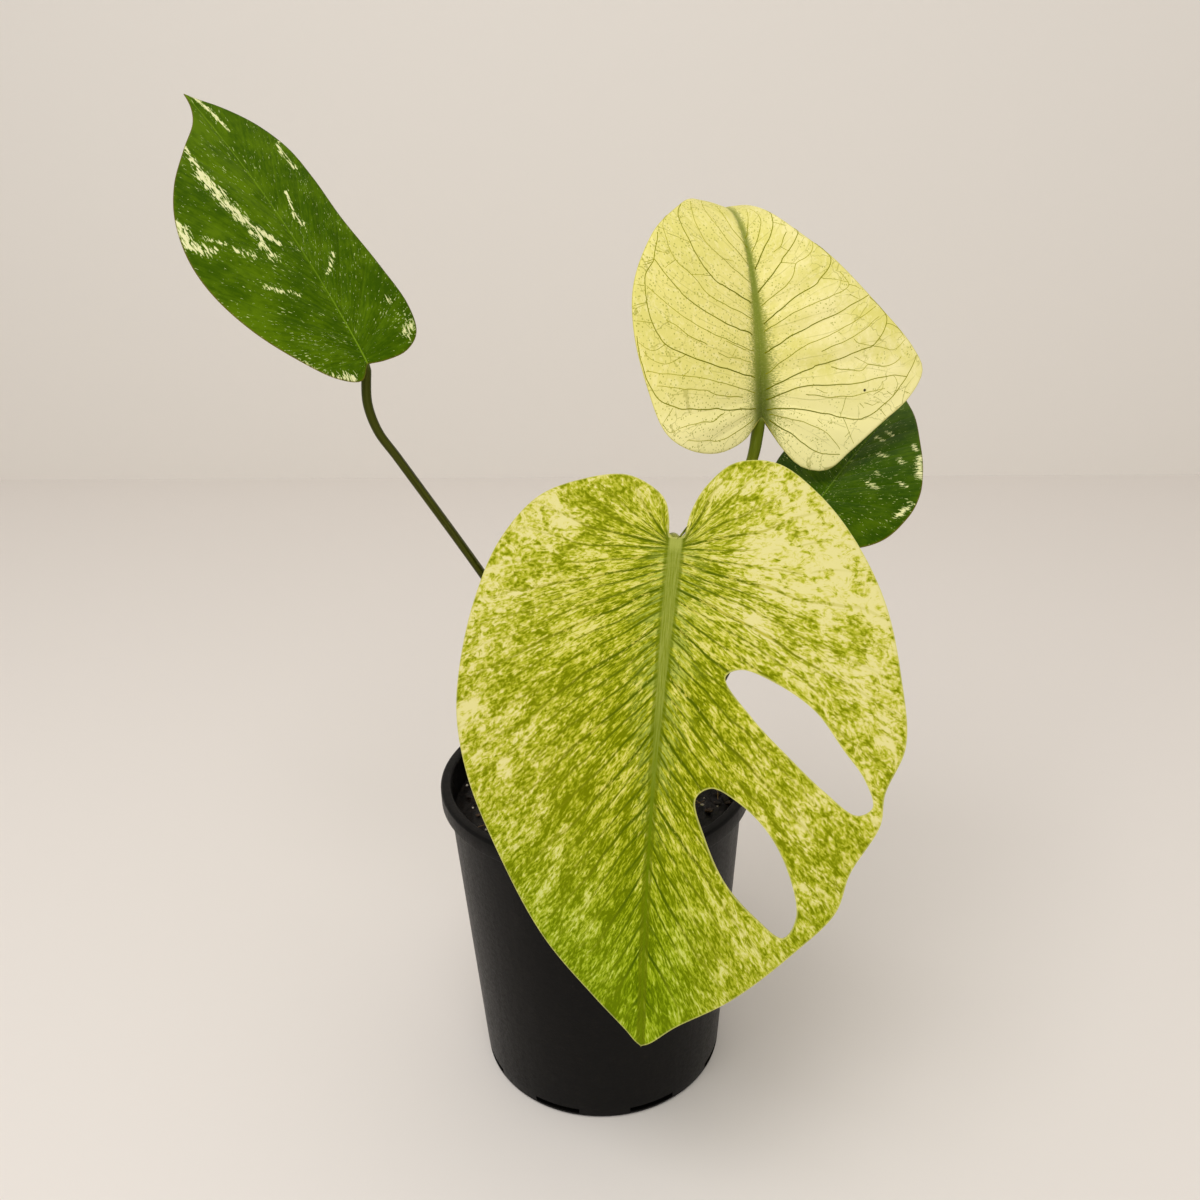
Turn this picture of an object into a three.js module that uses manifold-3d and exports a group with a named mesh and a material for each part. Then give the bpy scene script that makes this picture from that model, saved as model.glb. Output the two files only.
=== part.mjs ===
// A young variegated monstera with four leaves, standing in a round black nursery pot.
// Millimetres, +Z up. The origin is the centre of the pot's base, on the surface that it stands on.
// The largest leaf hangs in front of the pot, towards -Y.

import * as THREE from 'three';
import { mergeVertices } from 'three/addons/utils/BufferGeometryUtils.js';
import Module from 'manifold-3d';

const wasm = await Module();
wasm.setup();

// Clearance between pieces that touch in the real plant
const GAP = 0.3;
// Cuts leave edges shorter than this behind, and they are smoothed away
const SMALLEST_DETAIL = 0.02;

// The pot: a thin wall that widens upwards to a flat lip with a hanging skirt
const POT_HEIGHT = 138.3;
const RIM_RADIUS = 65;
const SKIRT_HEIGHT = 7.1;
const SKIRT_WALL = 1.4;
const BODY_TOP_RADIUS = 61.8;
const BODY_BASE_RADIUS = 53.3;
const POT_WALL = 1.4;
const BASE_PLATE = 1.8;
const FOOT_CHAMFER = 1.0;
const LIP_CHAMFER = 0.8;
const LIP_STEP = 1.2;
const POT_SEGMENTS = 48;

// The ring channel under the pot, which lifts the drain holes off the ground
const CENTRE_PAD_RADIUS = 20;
const CHANNEL_OUTER_RADIUS = 46;
const CHANNEL_RISE = 2.5;
const DRAIN_HOLES = 8;
const DRAIN_HOLE_RADIUS = 4;
const DRAIN_HOLE_SIDES = 14;
const DRAIN_SLOTS = 8;
const DRAIN_SLOT_WIDTH = 20;
const DRAIN_SLOT_HEIGHT = 2.4;
const DRAIN_SLOT_FLOOR = 2.0;
const DRAIN_SLOT_DEPTH = 8;

// The soil fills the pot to a little below its lip
const SOIL_LEVEL = 126;
const SOIL_LUMP = 1.6;
const SOIL_EDGE_WIDTH = 9;
const SOIL_SEGMENTS = 32;
const SOIL_RINGS = 7;

// Chips of bark and pumice in the soil's surface, spread by the golden angle
const CHIP_COUNT = 22;
const CHIP_SMALLEST = 1.6;
const CHIP_LARGEST = 3.8;
const CHIP_SHAPE = [1.3, 0.8, 0.55];
const CHIP_FREE_RADIUS = 21;
const CHIP_SEED = 20;
const GOLDEN_ANGLE = Math.PI * (3 - Math.sqrt(5));

// The short main stem, mostly below the soil, and its roots
const STEM_PLACE = new THREE.Vector2(18, 7);
const STEM_RADIUS = 7;
const STEM_BOTTOM = 74;
const STEM_TOP = 137;
const STEM_RING_SPACING = 13;
const STEM_RING_HEIGHT = 0.6;
const STEM_LEVELS = 20;
const STEM_SIDES = 16;
const ROOT_COUNT = 6;
const ROOT_RADIUS = 1.7;
const ROOT_REACH = 41;
const ROOT_HIGHEST = 100;
const ROOT_SPACING = 3.6;
const ROOT_END_HIGHEST = 62;
const ROOT_END_SPACING = 8;

// Leaf stalks rise from round feet that stand against the stem
const STALK_FOOT_RADIUS = 3.5;
const STALK_FOOT_LEVEL = 110;
const STALK_SIDES = 8;
const STALK_STEPS = 20;
const STALK_FOOT_DISTANCE = STEM_RADIUS + STALK_FOOT_RADIUS + 1.0;

// Each leaf blade is drawn flat and then bent. In the flat drawing u runs across the blade and
// v along its midrib, from the notch where the stalk joins, at 0, to the tip.
// heading and pitch point the midrib, roll turns the blade about it, arch is the angle that the
// midrib bends through, and curl adds to it past the fraction curlFrom. fold lifts each half of
// the blade from the midrib and droop lowers it again towards the margin. Angles are degrees,
// and a pair of values is for the side of negative u, then the side of positive u.
const BLADE_THICKNESS = 0.9;
const QUILT = 0.5;
const VEIN_ROWS = 4;

const LEAVES = {
  front: {
    base: [31.7, -30, 249.4],
    heading: -104,
    pitch: -50,
    roll: 0,
    length: 182,
    halfWidth: 80,
    arch: 32,
    curl: 0,
    curlFrom: 1,
    sway: 0,
    fold: [4, 4],
    droop: [20, 20],
    rows: 32,
    columns: [0.06, 0.24, 0.5, 0.76, 1],
    midribDepth: 2.2,
    margins: [
      [
        [0, 0], [-3, -2], [-4, -9], [-8, -21], [-18, -31], [-33, -32], [-48, -22], [-62, -6],
        [-74, 16], [-81, 42], [-84, 66], [-78, 83], [-77, 94], [-68, 111], [-64, 125], [-51, 140],
        [-31, 159], [-12, 172], [0, 182],
      ],
      [
        [0, 0], [3, -2], [4, -8], [9, -19], [21, -25], [38, -23], [55, -16], [68, 1], [75, 24],
        [78, 50], [77, 70], [70, 92], [56, 117], [37, 145], [17, 165], [5, 176], [0, 182],
      ],
    ],
    holes: [
      [
        [-22, 48], [-27, 45], [-40, 49], [-53, 57], [-63, 69], [-71, 79], [-74, 88],
        [-69, 91], [-58, 84], [-45, 73], [-32, 61],
      ],
      [
        [-15, 90], [-20, 86], [-28, 89], [-39, 98], [-47, 111], [-51, 127], [-47, 135],
        [-38, 129], [-27, 118], [-19, 103],
      ],
    ],
    bladeColour: 0xd2d57c,
    stalk: {
      footAngle: -80,
      route: [[25.5, -7, 190], [29.5, -13, 232], [31.4, -20, 246.5]],
      arrival: [0.02, -0.97, 0.24],
      radius: 2.5,
      knuckleRadius: 2.9,
      colour: 0xa9b45a,
    },
  },
  left: {
    base: [-82.4, 20, 307],
    heading: 141,
    pitch: 55,
    roll: -14,
    length: 136,
    halfWidth: 38,
    arch: 18,
    curl: 0,
    curlFrom: 1,
    sway: -5,
    fold: [10, 10],
    droop: [10, 20],
    rows: 24,
    columns: [0.08, 0.36, 0.7, 1],
    midribDepth: 1.4,
    margins: [
      [
        [0, 0], [-6, -6], [-15, -3], [-26, 8], [-36, 23], [-42, 40], [-43, 56], [-39, 74],
        [-31, 90], [-18, 107], [-6, 121], [-2, 130], [0, 136],
      ],
      [
        [0, 0], [7, -1], [17, 0], [25, 6], [28, 18], [26, 38], [23, 62], [23, 83],
        [22, 100], [17, 115], [9, 127], [0, 136],
      ],
    ],
    holes: [],
    bladeColour: 0x5a8a22,
    stalk: {
      footAngle: 172,
      route: [
        [-17, 10.8, 178], [-44, 13.5, 224], [-73.7, 17.6, 270.6], [-80.7, 18.4, 281.5],
        [-83.7, 19, 292],
      ],
      arrival: [0.12, 0.1, 0.98],
      radius: 1.8,
      knuckleRadius: 1.9,
      colour: 0x5f6e2c,
    },
  },
  back: {
    base: [70, 28, 280.5],
    heading: 104,
    pitch: 86,
    roll: 0,
    length: 112,
    halfWidth: 56,
    arch: 34,
    curl: 120,
    curlFrom: 0.45,
    sway: -3,
    fold: [24, 8],
    droop: [10, 10],
    rows: 28,
    columns: [0.06, 0.34, 0.68, 1],
    midribDepth: 2.0,
    margins: [
      [
        [0, 0], [-3, -2], [-8, -7], [-22, -11], [-37, -8], [-48, 0], [-54, 15], [-57, 34],
        [-54, 51], [-43, 67], [-25, 82], [-10, 98], [0, 112],
      ],
      [
        [0, 0], [3, -4], [8, -12], [17, -21], [28, -23], [38, -16], [51, -6], [64, 4], [70, 14],
        [66, 23], [50, 42], [35, 59], [20, 74], [8, 94], [0, 112],
      ],
    ],
    holes: [],
    bladeColour: 0xdfe08f,
    stalk: {
      footAngle: 65,
      route: [[46.5, 19, 206.5], [66.9, 26, 265.5]],
      arrival: [0.14, 0.05, 0.99],
      radius: 2.1,
      knuckleRadius: 2.5,
      colour: 0xa7ad4a,
    },
  },
  right: {
    base: [90.5, 20, 243.2],
    heading: 52,
    pitch: 25,
    roll: 0,
    length: 94,
    halfWidth: 40,
    arch: 12,
    curl: 0,
    curlFrom: 1,
    sway: 0,
    fold: [8, 8],
    droop: [10, 10],
    rows: 24,
    columns: [0.08, 0.36, 0.7, 1],
    midribDepth: 1.6,
    margins: [
      [
        [0, 0], [-4, -8], [-11, -14], [-19, -11], [-25, 1], [-28, 18], [-30, 34],
        [-28, 52], [-20, 70], [-9, 85], [0, 94],
      ],
      [
        [0, 0], [4, -8], [13, -17], [26, -18], [35, -11], [39, 4], [38, 18], [32, 36],
        [23, 55], [12, 76], [0, 94],
      ],
    ],
    holes: [],
    bladeColour: 0x4c7a1c,
    stalk: {
      footAngle: 10,
      route: [[60, 14, 180], [84, 18.4, 231]],
      arrival: [0.6, 0.2, 0.77],
      radius: 1.9,
      knuckleRadius: 2.0,
      colour: 0x6f7c30,
    },
  },
};

// Repeatable random numbers
function seededRandom(seed) {
  let state = seed;
  return () => {
    state = (state * 1664525 + 1013904223) % 4294967296;
    return state / 4294967296;
  };
}

// A closed mesh as a solid that can be joined and cut, and back again
function solidOf(geometry) {
  const bare = geometry.clone();
  bare.deleteAttribute('normal');
  bare.deleteAttribute('uv');
  const merged = mergeVertices(bare, 1e-4);
  return new wasm.Manifold(new wasm.Mesh({
    numProp: 3,
    vertProperties: new Float32Array(merged.attributes.position.array),
    triVerts: new Uint32Array(merged.index.array),
  }));
}

function geometryOf(solid) {
  const mesh = solid.simplify(SMALLEST_DETAIL).getMesh();
  const geometry = new THREE.BufferGeometry();
  geometry.setAttribute('position', new THREE.BufferAttribute(mesh.vertProperties, 3));
  geometry.setIndex(new THREE.BufferAttribute(mesh.triVerts, 1));
  geometry.computeVertexNormals();
  return geometry;
}

// A cut can leave a loose crumb, which is dropped
function largestBody(solid) {
  return solid.decompose().reduce((best, body) => (body.volume() > best.volume() ? body : best));
}

function geometryFrom(points, triangles) {
  const geometry = new THREE.BufferGeometry();
  const positions = points.flatMap((point) => [point.x, point.y, point.z]);
  geometry.setAttribute('position', new THREE.Float32BufferAttribute(positions, 3));
  geometry.setIndex(triangles);
  return geometry;
}

// A closed round tube along a curve. radiusAt gives its radius at a fraction of its length.
function tubeGeometry(curve, radiusAt, steps, sides) {
  const frames = curve.computeFrenetFrames(steps, false);
  const points = [];
  const triangles = [];
  for (let step = 0; step <= steps; step += 1) {
    const centre = curve.getPointAt(step / steps);
    const radius = radiusAt(step / steps);
    for (let side = 0; side < sides; side += 1) {
      const turn = (2 * Math.PI * side) / sides;
      points.push(centre.clone()
        .addScaledVector(frames.normals[step], radius * Math.cos(turn))
        .addScaledVector(frames.binormals[step], radius * Math.sin(turn)));
    }
  }
  for (let step = 0; step < steps; step += 1) {
    for (let side = 0; side < sides; side += 1) {
      const next = (side + 1) % sides;
      const a = step * sides + side;
      const b = step * sides + next;
      triangles.push(a, b, b + sides, a, b + sides, a + sides);
    }
  }
  const last = steps * sides;
  for (let side = 1; side < sides - 1; side += 1) {
    triangles.push(0, side + 1, side);
    triangles.push(last, last + side, last + side + 1);
  }
  return geometryFrom(points, triangles);
}

// Radius of the pot's outside at a height, below the lip
function potRadiusAt(height) {
  const slope = (BODY_TOP_RADIUS - BODY_BASE_RADIUS) / (POT_HEIGHT - SKIRT_HEIGHT);
  return BODY_BASE_RADIUS + slope * height;
}

function potGeometry() {
  const skirtBottom = POT_HEIGHT - SKIRT_HEIGHT;
  const lipUnderside = POT_HEIGHT - POT_WALL;
  const channelTop = CHANNEL_RISE + BASE_PLATE;
  const innerFootRadius = potRadiusAt(BASE_PLATE) - POT_WALL;
  const outline = [
    [0, 0],
    [CENTRE_PAD_RADIUS, 0],
    [CENTRE_PAD_RADIUS + CHANNEL_RISE, CHANNEL_RISE],
    [CHANNEL_OUTER_RADIUS - CHANNEL_RISE, CHANNEL_RISE],
    [CHANNEL_OUTER_RADIUS, 0],
    [BODY_BASE_RADIUS - FOOT_CHAMFER, 0],
    [BODY_BASE_RADIUS, FOOT_CHAMFER],
    [BODY_TOP_RADIUS, skirtBottom],
    [BODY_TOP_RADIUS, lipUnderside],
    [RIM_RADIUS - SKIRT_WALL, lipUnderside],
    [RIM_RADIUS - SKIRT_WALL, skirtBottom],
    [RIM_RADIUS, skirtBottom],
    [RIM_RADIUS, POT_HEIGHT - LIP_CHAMFER],
    [RIM_RADIUS - LIP_CHAMFER, POT_HEIGHT],
    [BODY_TOP_RADIUS - POT_WALL + LIP_CHAMFER, POT_HEIGHT],
    [BODY_TOP_RADIUS - POT_WALL, POT_HEIGHT - LIP_STEP],
    [BODY_TOP_RADIUS - POT_WALL, skirtBottom],
    [innerFootRadius, BASE_PLATE],
    [CHANNEL_OUTER_RADIUS, BASE_PLATE],
    [CHANNEL_OUTER_RADIUS - CHANNEL_RISE, channelTop],
    [CENTRE_PAD_RADIUS + CHANNEL_RISE, channelTop],
    [CENTRE_PAD_RADIUS, BASE_PLATE],
    [0, BASE_PLATE],
  ].map(([radius, height]) => new THREE.Vector2(radius, height));
  let pot = solidOf(new THREE.LatheGeometry(outline, POT_SEGMENTS).rotateX(Math.PI / 2));

  // Round drain holes through the raised channel
  const holeCircle = (CENTRE_PAD_RADIUS + CHANNEL_OUTER_RADIUS) / 2;
  for (let hole = 0; hole < DRAIN_HOLES; hole += 1) {
    const angle = (2 * Math.PI * hole) / DRAIN_HOLES;
    const cutter = new THREE.CylinderGeometry(
      DRAIN_HOLE_RADIUS,
      DRAIN_HOLE_RADIUS,
      3 * DRAIN_HOLE_RADIUS,
      DRAIN_HOLE_SIDES,
    );
    cutter.rotateX(Math.PI / 2);
    cutter.translate(holeCircle * Math.cos(angle), holeCircle * Math.sin(angle), CHANNEL_RISE);
    pot = pot.subtract(solidOf(cutter));
  }

  // Low drain slots through the foot of the wall, halfway between the holes
  for (let slot = 0; slot < DRAIN_SLOTS; slot += 1) {
    const cutter = new THREE.BoxGeometry(DRAIN_SLOT_DEPTH, DRAIN_SLOT_WIDTH, DRAIN_SLOT_HEIGHT);
    cutter.translate(BODY_BASE_RADIUS, 0, DRAIN_SLOT_FLOOR + DRAIN_SLOT_HEIGHT / 2);
    cutter.rotateZ((2 * Math.PI * (slot + 0.5)) / DRAIN_SLOTS);
    pot = pot.subtract(solidOf(cutter));
  }
  return geometryOf(pot);
}

// Height of the soil's lumps at a place, from a few crossing waves
function soilLump(x, y) {
  return SOIL_LUMP * (
    0.45 * Math.sin(0.21 * x + 0.13 * y + 0.6)
    + 0.35 * Math.sin(0.33 * y - 0.19 * x + 2.1)
    + 0.3 * Math.sin(0.57 * x + 0.41 * y + 4.0) * Math.sin(0.49 * y - 0.29 * x)
  );
}

function soilGeometry(cavities) {
  const channelTop = CHANNEL_RISE + BASE_PLATE;
  const wallRadiusAt = (height) => potRadiusAt(height) - POT_WALL - GAP;
  const edgeRadius = wallRadiusAt(SOIL_LEVEL);
  const outline = [
    [0, BASE_PLATE + GAP],
    [CENTRE_PAD_RADIUS - GAP, BASE_PLATE + GAP],
    [CENTRE_PAD_RADIUS + CHANNEL_RISE - GAP, channelTop + GAP],
    [CHANNEL_OUTER_RADIUS - CHANNEL_RISE + GAP, channelTop + GAP],
    [CHANNEL_OUTER_RADIUS + GAP, BASE_PLATE + GAP],
    [wallRadiusAt(BASE_PLATE + GAP) - GAP, BASE_PLATE + GAP],
    [wallRadiusAt(SOIL_LEVEL - 1), SOIL_LEVEL - 1],
  ].map(([radius, height]) => new THREE.Vector2(radius, height));
  for (let ring = SOIL_RINGS; ring >= 0; ring -= 1) {
    outline.push(new THREE.Vector2((edgeRadius - 0.5) * (ring / SOIL_RINGS), SOIL_LEVEL));
  }
  const body = new THREE.LatheGeometry(outline, SOIL_SEGMENTS).rotateX(Math.PI / 2);
  const position = body.attributes.position;
  for (let index = 0; index < position.count; index += 1) {
    if (position.getZ(index) > SOIL_LEVEL - 0.5) {
      const x = position.getX(index);
      const y = position.getY(index);
      const nearEdge = THREE.MathUtils.smoothstep(
        Math.hypot(x, y),
        edgeRadius - SOIL_EDGE_WIDTH,
        edgeRadius,
      );
      position.setZ(index, SOIL_LEVEL + soilLump(x, y) * (1 - 0.6 * nearEdge) - nearEdge);
    }
  }
  let soil = solidOf(body);

  // The chips lie half sunk in the surface, clear of the stem and the stalks
  const random = seededRandom(CHIP_SEED);
  for (let chip = 0; chip < CHIP_COUNT; chip += 1) {
    const reach = (edgeRadius - 1.5 * CHIP_LARGEST) * Math.sqrt((chip + 0.5) / CHIP_COUNT);
    const angle = chip * GOLDEN_ANGLE + 0.4 * random();
    const size = THREE.MathUtils.lerp(CHIP_SMALLEST, CHIP_LARGEST, random());
    const place = new THREE.Vector2(reach * Math.cos(angle), reach * Math.sin(angle));
    const piece = new THREE.IcosahedronGeometry(size, 0);
    piece.scale(...CHIP_SHAPE);
    piece.rotateX(0.7 * (random() - 0.5));
    piece.rotateZ(2 * Math.PI * random());
    piece.translate(place.x, place.y, SOIL_LEVEL + soilLump(place.x, place.y) + 0.1 * size);
    if (place.distanceTo(STEM_PLACE) > CHIP_FREE_RADIUS) {
      soil = soil.add(solidOf(piece));
    }
  }
  for (const cavity of cavities) {
    soil = soil.subtract(solidOf(cavity));
  }
  return geometryOf(largestBody(soil));
}

// The stem's outline with its leaf-scar rings, grown by a clearance for the hole that it stands in
function stemCore(clearance, top) {
  const outline = [new THREE.Vector2(0, STEM_BOTTOM - clearance)];
  const height = STEM_TOP - STEM_BOTTOM;
  for (let level = 0; level <= STEM_LEVELS; level += 1) {
    const fraction = level / STEM_LEVELS;
    const up = fraction * height;
    const ring = STEM_RING_HEIGHT * Math.cos((2 * Math.PI * up) / STEM_RING_SPACING) ** 8;
    const bottomTaper = THREE.MathUtils.smoothstep(fraction, 0, 0.25);
    const topTaper = THREE.MathUtils.smoothstep(fraction, 0.85, 1);
    const swell = 0.72 + 0.28 * bottomTaper - 0.25 * topTaper;
    const radius = (STEM_RADIUS - STEM_RING_HEIGHT) * swell + ring;
    outline.push(new THREE.Vector2(radius + clearance, STEM_BOTTOM + up - clearance));
  }
  if (top > STEM_TOP) {
    outline.push(new THREE.Vector2(outline.at(-1).x, top));
  }
  outline.push(new THREE.Vector2(0, outline.at(-1).y));
  const core = new THREE.LatheGeometry(outline, STEM_SIDES).rotateX(Math.PI / 2);
  return core.translate(STEM_PLACE.x, STEM_PLACE.y, 0);
}

// Roots leave the stem all round and bend down to the wall of the pot
function rootTube(root, clearance) {
  const angle = root * GOLDEN_ANGLE + 0.5;
  const startLevel = ROOT_HIGHEST - root * ROOT_SPACING;
  const endLevel = ROOT_END_HIGHEST - root * ROOT_END_SPACING;
  const outwards = new THREE.Vector2(Math.cos(angle), Math.sin(angle));
  const end = outwards.clone().rotateAround(new THREE.Vector2(), 0.5).multiplyScalar(ROOT_REACH);
  const start = STEM_PLACE.clone().addScaledVector(outwards, STEM_RADIUS - 4);
  const middle = STEM_PLACE.clone().addScaledVector(outwards, STEM_RADIUS + 8)
    .lerp(end, 0.45);
  const curve = new THREE.CatmullRomCurve3([
    new THREE.Vector3(start.x, start.y, startLevel),
    new THREE.Vector3(middle.x, middle.y, startLevel - 9),
    new THREE.Vector3(end.x, end.y, (startLevel + endLevel) / 2 - 8),
    new THREE.Vector3(end.x * 0.95, end.y * 0.95, endLevel - 6),
  ]);
  const radiusAt = (fraction) => ROOT_RADIUS * (1 - 0.45 * fraction) + clearance;
  return tubeGeometry(curve, radiusAt, 9, 6);
}

function stemSolid(clearance, top) {
  let stem = solidOf(stemCore(clearance, top));
  for (let root = 0; root < ROOT_COUNT; root += 1) {
    stem = stem.add(solidOf(rootTube(root, clearance)));
  }
  return stem;
}

// The directions of a leaf at its base: along the midrib, out of its upper face, and across it
function leafDirections(leaf) {
  const heading = THREE.MathUtils.degToRad(leaf.heading);
  const pitch = THREE.MathUtils.degToRad(leaf.pitch);
  const roll = THREE.MathUtils.degToRad(leaf.roll);
  const along = new THREE.Vector3(
    Math.cos(pitch) * Math.cos(heading),
    Math.cos(pitch) * Math.sin(heading),
    Math.sin(pitch),
  );
  const level = new THREE.Vector3(
    -Math.sin(pitch) * Math.cos(heading),
    -Math.sin(pitch) * Math.sin(heading),
    Math.cos(pitch),
  );
  const side = along.clone().cross(level);
  const out = level.clone().multiplyScalar(Math.cos(roll)).addScaledVector(side, Math.sin(roll));
  const across = side.multiplyScalar(Math.cos(roll)).addScaledVector(level, -Math.sin(roll));
  return { along, out, across };
}

// How far the midrib has bent at v, in radians
function midribBend(leaf, v) {
  const beyond = Math.max(0, v / leaf.length - leaf.curlFrom) / Math.max(1e-6, 1 - leaf.curlFrom);
  return THREE.MathUtils.degToRad((leaf.arch * v) / leaf.length + leaf.curl * beyond ** 2);
}

// The midrib at v, as distances along and below the base direction, with its bend there
function midribPlace(leaf, v) {
  if (v <= 0) {
    return { forward: v, drop: 0, bend: 0 };
  }
  const steps = Math.ceil(v);
  const stride = v / steps;
  let forward = 0;
  let drop = 0;
  for (let step = 0; step < steps; step += 1) {
    const bend = midribBend(leaf, (step + 0.5) * stride);
    forward += stride * Math.cos(bend);
    drop += stride * Math.sin(bend);
  }
  return { forward, drop, bend: midribBend(leaf, v) };
}

// The point of the bent blade for a point of the flat drawing, raised from it by lift
function bladePoint(leaf, u, v, lift) {
  const { along, out, across } = leafDirections(leaf);
  const { forward, drop, bend } = midribPlace(leaf, v);
  const side = u > 0 ? 1 : 0;
  const progress = THREE.MathUtils.clamp(v / leaf.length, 0, 1);
  const fold = leaf.fold[side] * (1 - 0.4 * progress);
  const drooped = (leaf.droop[side] * Math.abs(u)) / leaf.halfWidth / 2;
  const slope = THREE.MathUtils.degToRad(fold - drooped);
  const outHere = out.clone().multiplyScalar(Math.cos(bend)).addScaledVector(along, Math.sin(bend));
  return new THREE.Vector3(...leaf.base)
    .addScaledVector(along, forward)
    .addScaledVector(out, -drop)
    .addScaledVector(across, u * Math.cos(slope) + leaf.sway * progress ** 2)
    .addScaledVector(outHere, Math.abs(u) * Math.sin(slope) + lift);
}

// The flat drawing as rows that follow the side veins, from the notch to the tip. Each row runs
// from the midrib to the margin, leaning and bending towards the tip.
function veinRows(leaf, side) {
  const corners = leaf.margins[side].map(([u, v]) => new THREE.Vector3(u, v, 0));
  const margin = new THREE.CatmullRomCurve3(corners, false, 'centripetal');
  const rows = [];
  for (let row = 0; row <= leaf.rows; row += 1) {
    const fraction = row / leaf.rows;
    const end = margin.getPointAt(fraction);
    const start = leaf.length * (0.12 * fraction + 0.88 * fraction ** 3);
    const bow = 0.1 * Math.abs(end.x) * THREE.MathUtils.smoothstep(end.y, 0, 0.4 * leaf.length);
    const middle = new THREE.Vector2(end.x / 2, (start + end.y) / 2 - bow);
    const vein = new THREE.QuadraticBezierCurve(
      new THREE.Vector2(0, start),
      middle,
      new THREE.Vector2(end.x, end.y),
    );
    rows.push([0, ...leaf.columns].map((column) => vein.getPoint(column)));
  }
  return rows;
}

// The blade swells between its side veins, and the midrib stands out below
function bladeRelief(leaf, row, column) {
  const along = row / leaf.rows;
  const across = column === 0 ? 0 : leaf.columns[column - 1];
  const swell = 0.5 - 0.5 * Math.cos((2 * Math.PI * row) / VEIN_ROWS);
  const fade = Math.sin(Math.PI * across) * Math.sin(Math.PI * along) ** 0.5;
  const rib = column === 0 ? leaf.midribDepth * (1 - 0.85 * along) : 0;
  return { both: QUILT * swell * fade, below: rib };
}

function bladeSolid(leaf) {
  const sides = [veinRows(leaf, 0), veinRows(leaf, 1)];
  const columnCount = leaf.columns.length;
  const points = [];
  const places = new Map();
  const indexOf = (side, row, column, face) => {
    const shared = column === 0 || row === 0 || row === leaf.rows;
    const key = shared ? `${row},${face}` : `${side},${row},${column},${face}`;
    if (!places.has(key)) {
      const flat = sides[side][row][shared ? 0 : column];
      const relief = bladeRelief(leaf, row, shared ? 0 : column);
      const lift = face === 'upper'
        ? relief.both + BLADE_THICKNESS / 2
        : relief.both - BLADE_THICKNESS / 2 - relief.below;
      places.set(key, points.length);
      points.push(bladePoint(leaf, flat.x, flat.y, lift));
    }
    return places.get(key);
  };
  const triangles = [];
  const addTriangle = (a, b, c) => {
    if (a !== b && b !== c && c !== a) {
      triangles.push(a, b, c);
    }
  };
  const addQuad = (a, b, c, d) => {
    addTriangle(a, b, c);
    addTriangle(a, c, d);
  };
  for (const side of [0, 1]) {
    for (let row = 0; row < leaf.rows; row += 1) {
      for (let column = 0; column < columnCount; column += 1) {
        const corner = (face) => [
          indexOf(side, row, column, face),
          indexOf(side, row, column + 1, face),
          indexOf(side, row + 1, column + 1, face),
          indexOf(side, row + 1, column, face),
        ];
        const [ua, ub, uc, ud] = corner('upper');
        const [la, lb, lc, ld] = corner('lower');
        if (side === 1) {
          addQuad(ua, ub, uc, ud);
          addQuad(ld, lc, lb, la);
        } else {
          addQuad(ud, uc, ub, ua);
          addQuad(la, lb, lc, ld);
        }
      }
      const wall = [
        indexOf(side, row, columnCount, 'upper'),
        indexOf(side, row, columnCount, 'lower'),
        indexOf(side, row + 1, columnCount, 'lower'),
        indexOf(side, row + 1, columnCount, 'upper'),
      ];
      addQuad(...(side === 1 ? wall : wall.reverse()));
    }
  }
  let blade = solidOf(geometryFrom(points, triangles));
  for (const hole of leaf.holes) {
    blade = blade.subtract(solidOf(holeCutter(leaf, hole)));
  }
  return blade.add(solidOf(knuckleTube(leaf)));
}

// A prism through the blade, with the outline of one of its natural holes
function holeCutter(leaf, hole) {
  const corners = hole.map(([u, v]) => new THREE.Vector3(u, v, 0));
  const outline = new THREE.CatmullRomCurve3(corners, true, 'centripetal').getSpacedPoints(26);
  outline.pop();
  const flat = outline.map((point) => new THREE.Vector2(point.x, point.y));
  if (THREE.ShapeUtils.isClockWise(flat)) {
    flat.reverse();
  }
  const caps = THREE.ShapeUtils.triangulateShape(flat, []);
  const reach = 4;
  const points = [reach, -reach].flatMap(
    (lift) => flat.map(({ x, y }) => bladePoint(leaf, x, y, lift)),
  );
  const count = flat.length;
  const triangles = [];
  for (const [a, b, c] of caps) {
    triangles.push(a, b, c, a + count, c + count, b + count);
  }
  for (let index = 0; index < count; index += 1) {
    const next = (index + 1) % count;
    triangles.push(index, next + count, next, index, index + count, next + count);
  }
  return geometryFrom(points, triangles);
}

// The end of a leaf's stalk, where the knuckle of its blade begins
function stalkEnd(leaf) {
  const arrival = new THREE.Vector3(...leaf.stalk.arrival).normalize();
  const end = bladePoint(leaf, 0, 0, -0.5 * leaf.stalk.knuckleRadius);
  return { arrival, end: end.addScaledVector(arrival, -1.5 * leaf.stalk.knuckleRadius) };
}

// The knuckle that carries the blade, which runs on under the start of the midrib
function knuckleTube(leaf) {
  const { arrival, end } = stalkEnd(leaf);
  const { knuckleRadius } = leaf.stalk;
  const curve = new THREE.CatmullRomCurve3([
    end,
    end.clone().addScaledVector(arrival, 0.6 * knuckleRadius),
    bladePoint(leaf, 0, 0.8 * knuckleRadius, -0.55 * knuckleRadius),
    bladePoint(leaf, 0, 0.1 * leaf.length, -0.4 * leaf.midribDepth),
  ], false, 'centripetal');
  return tubeGeometry(curve, (fraction) => knuckleRadius * (1 - 0.86 * fraction), 6, STALK_SIDES);
}

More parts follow.
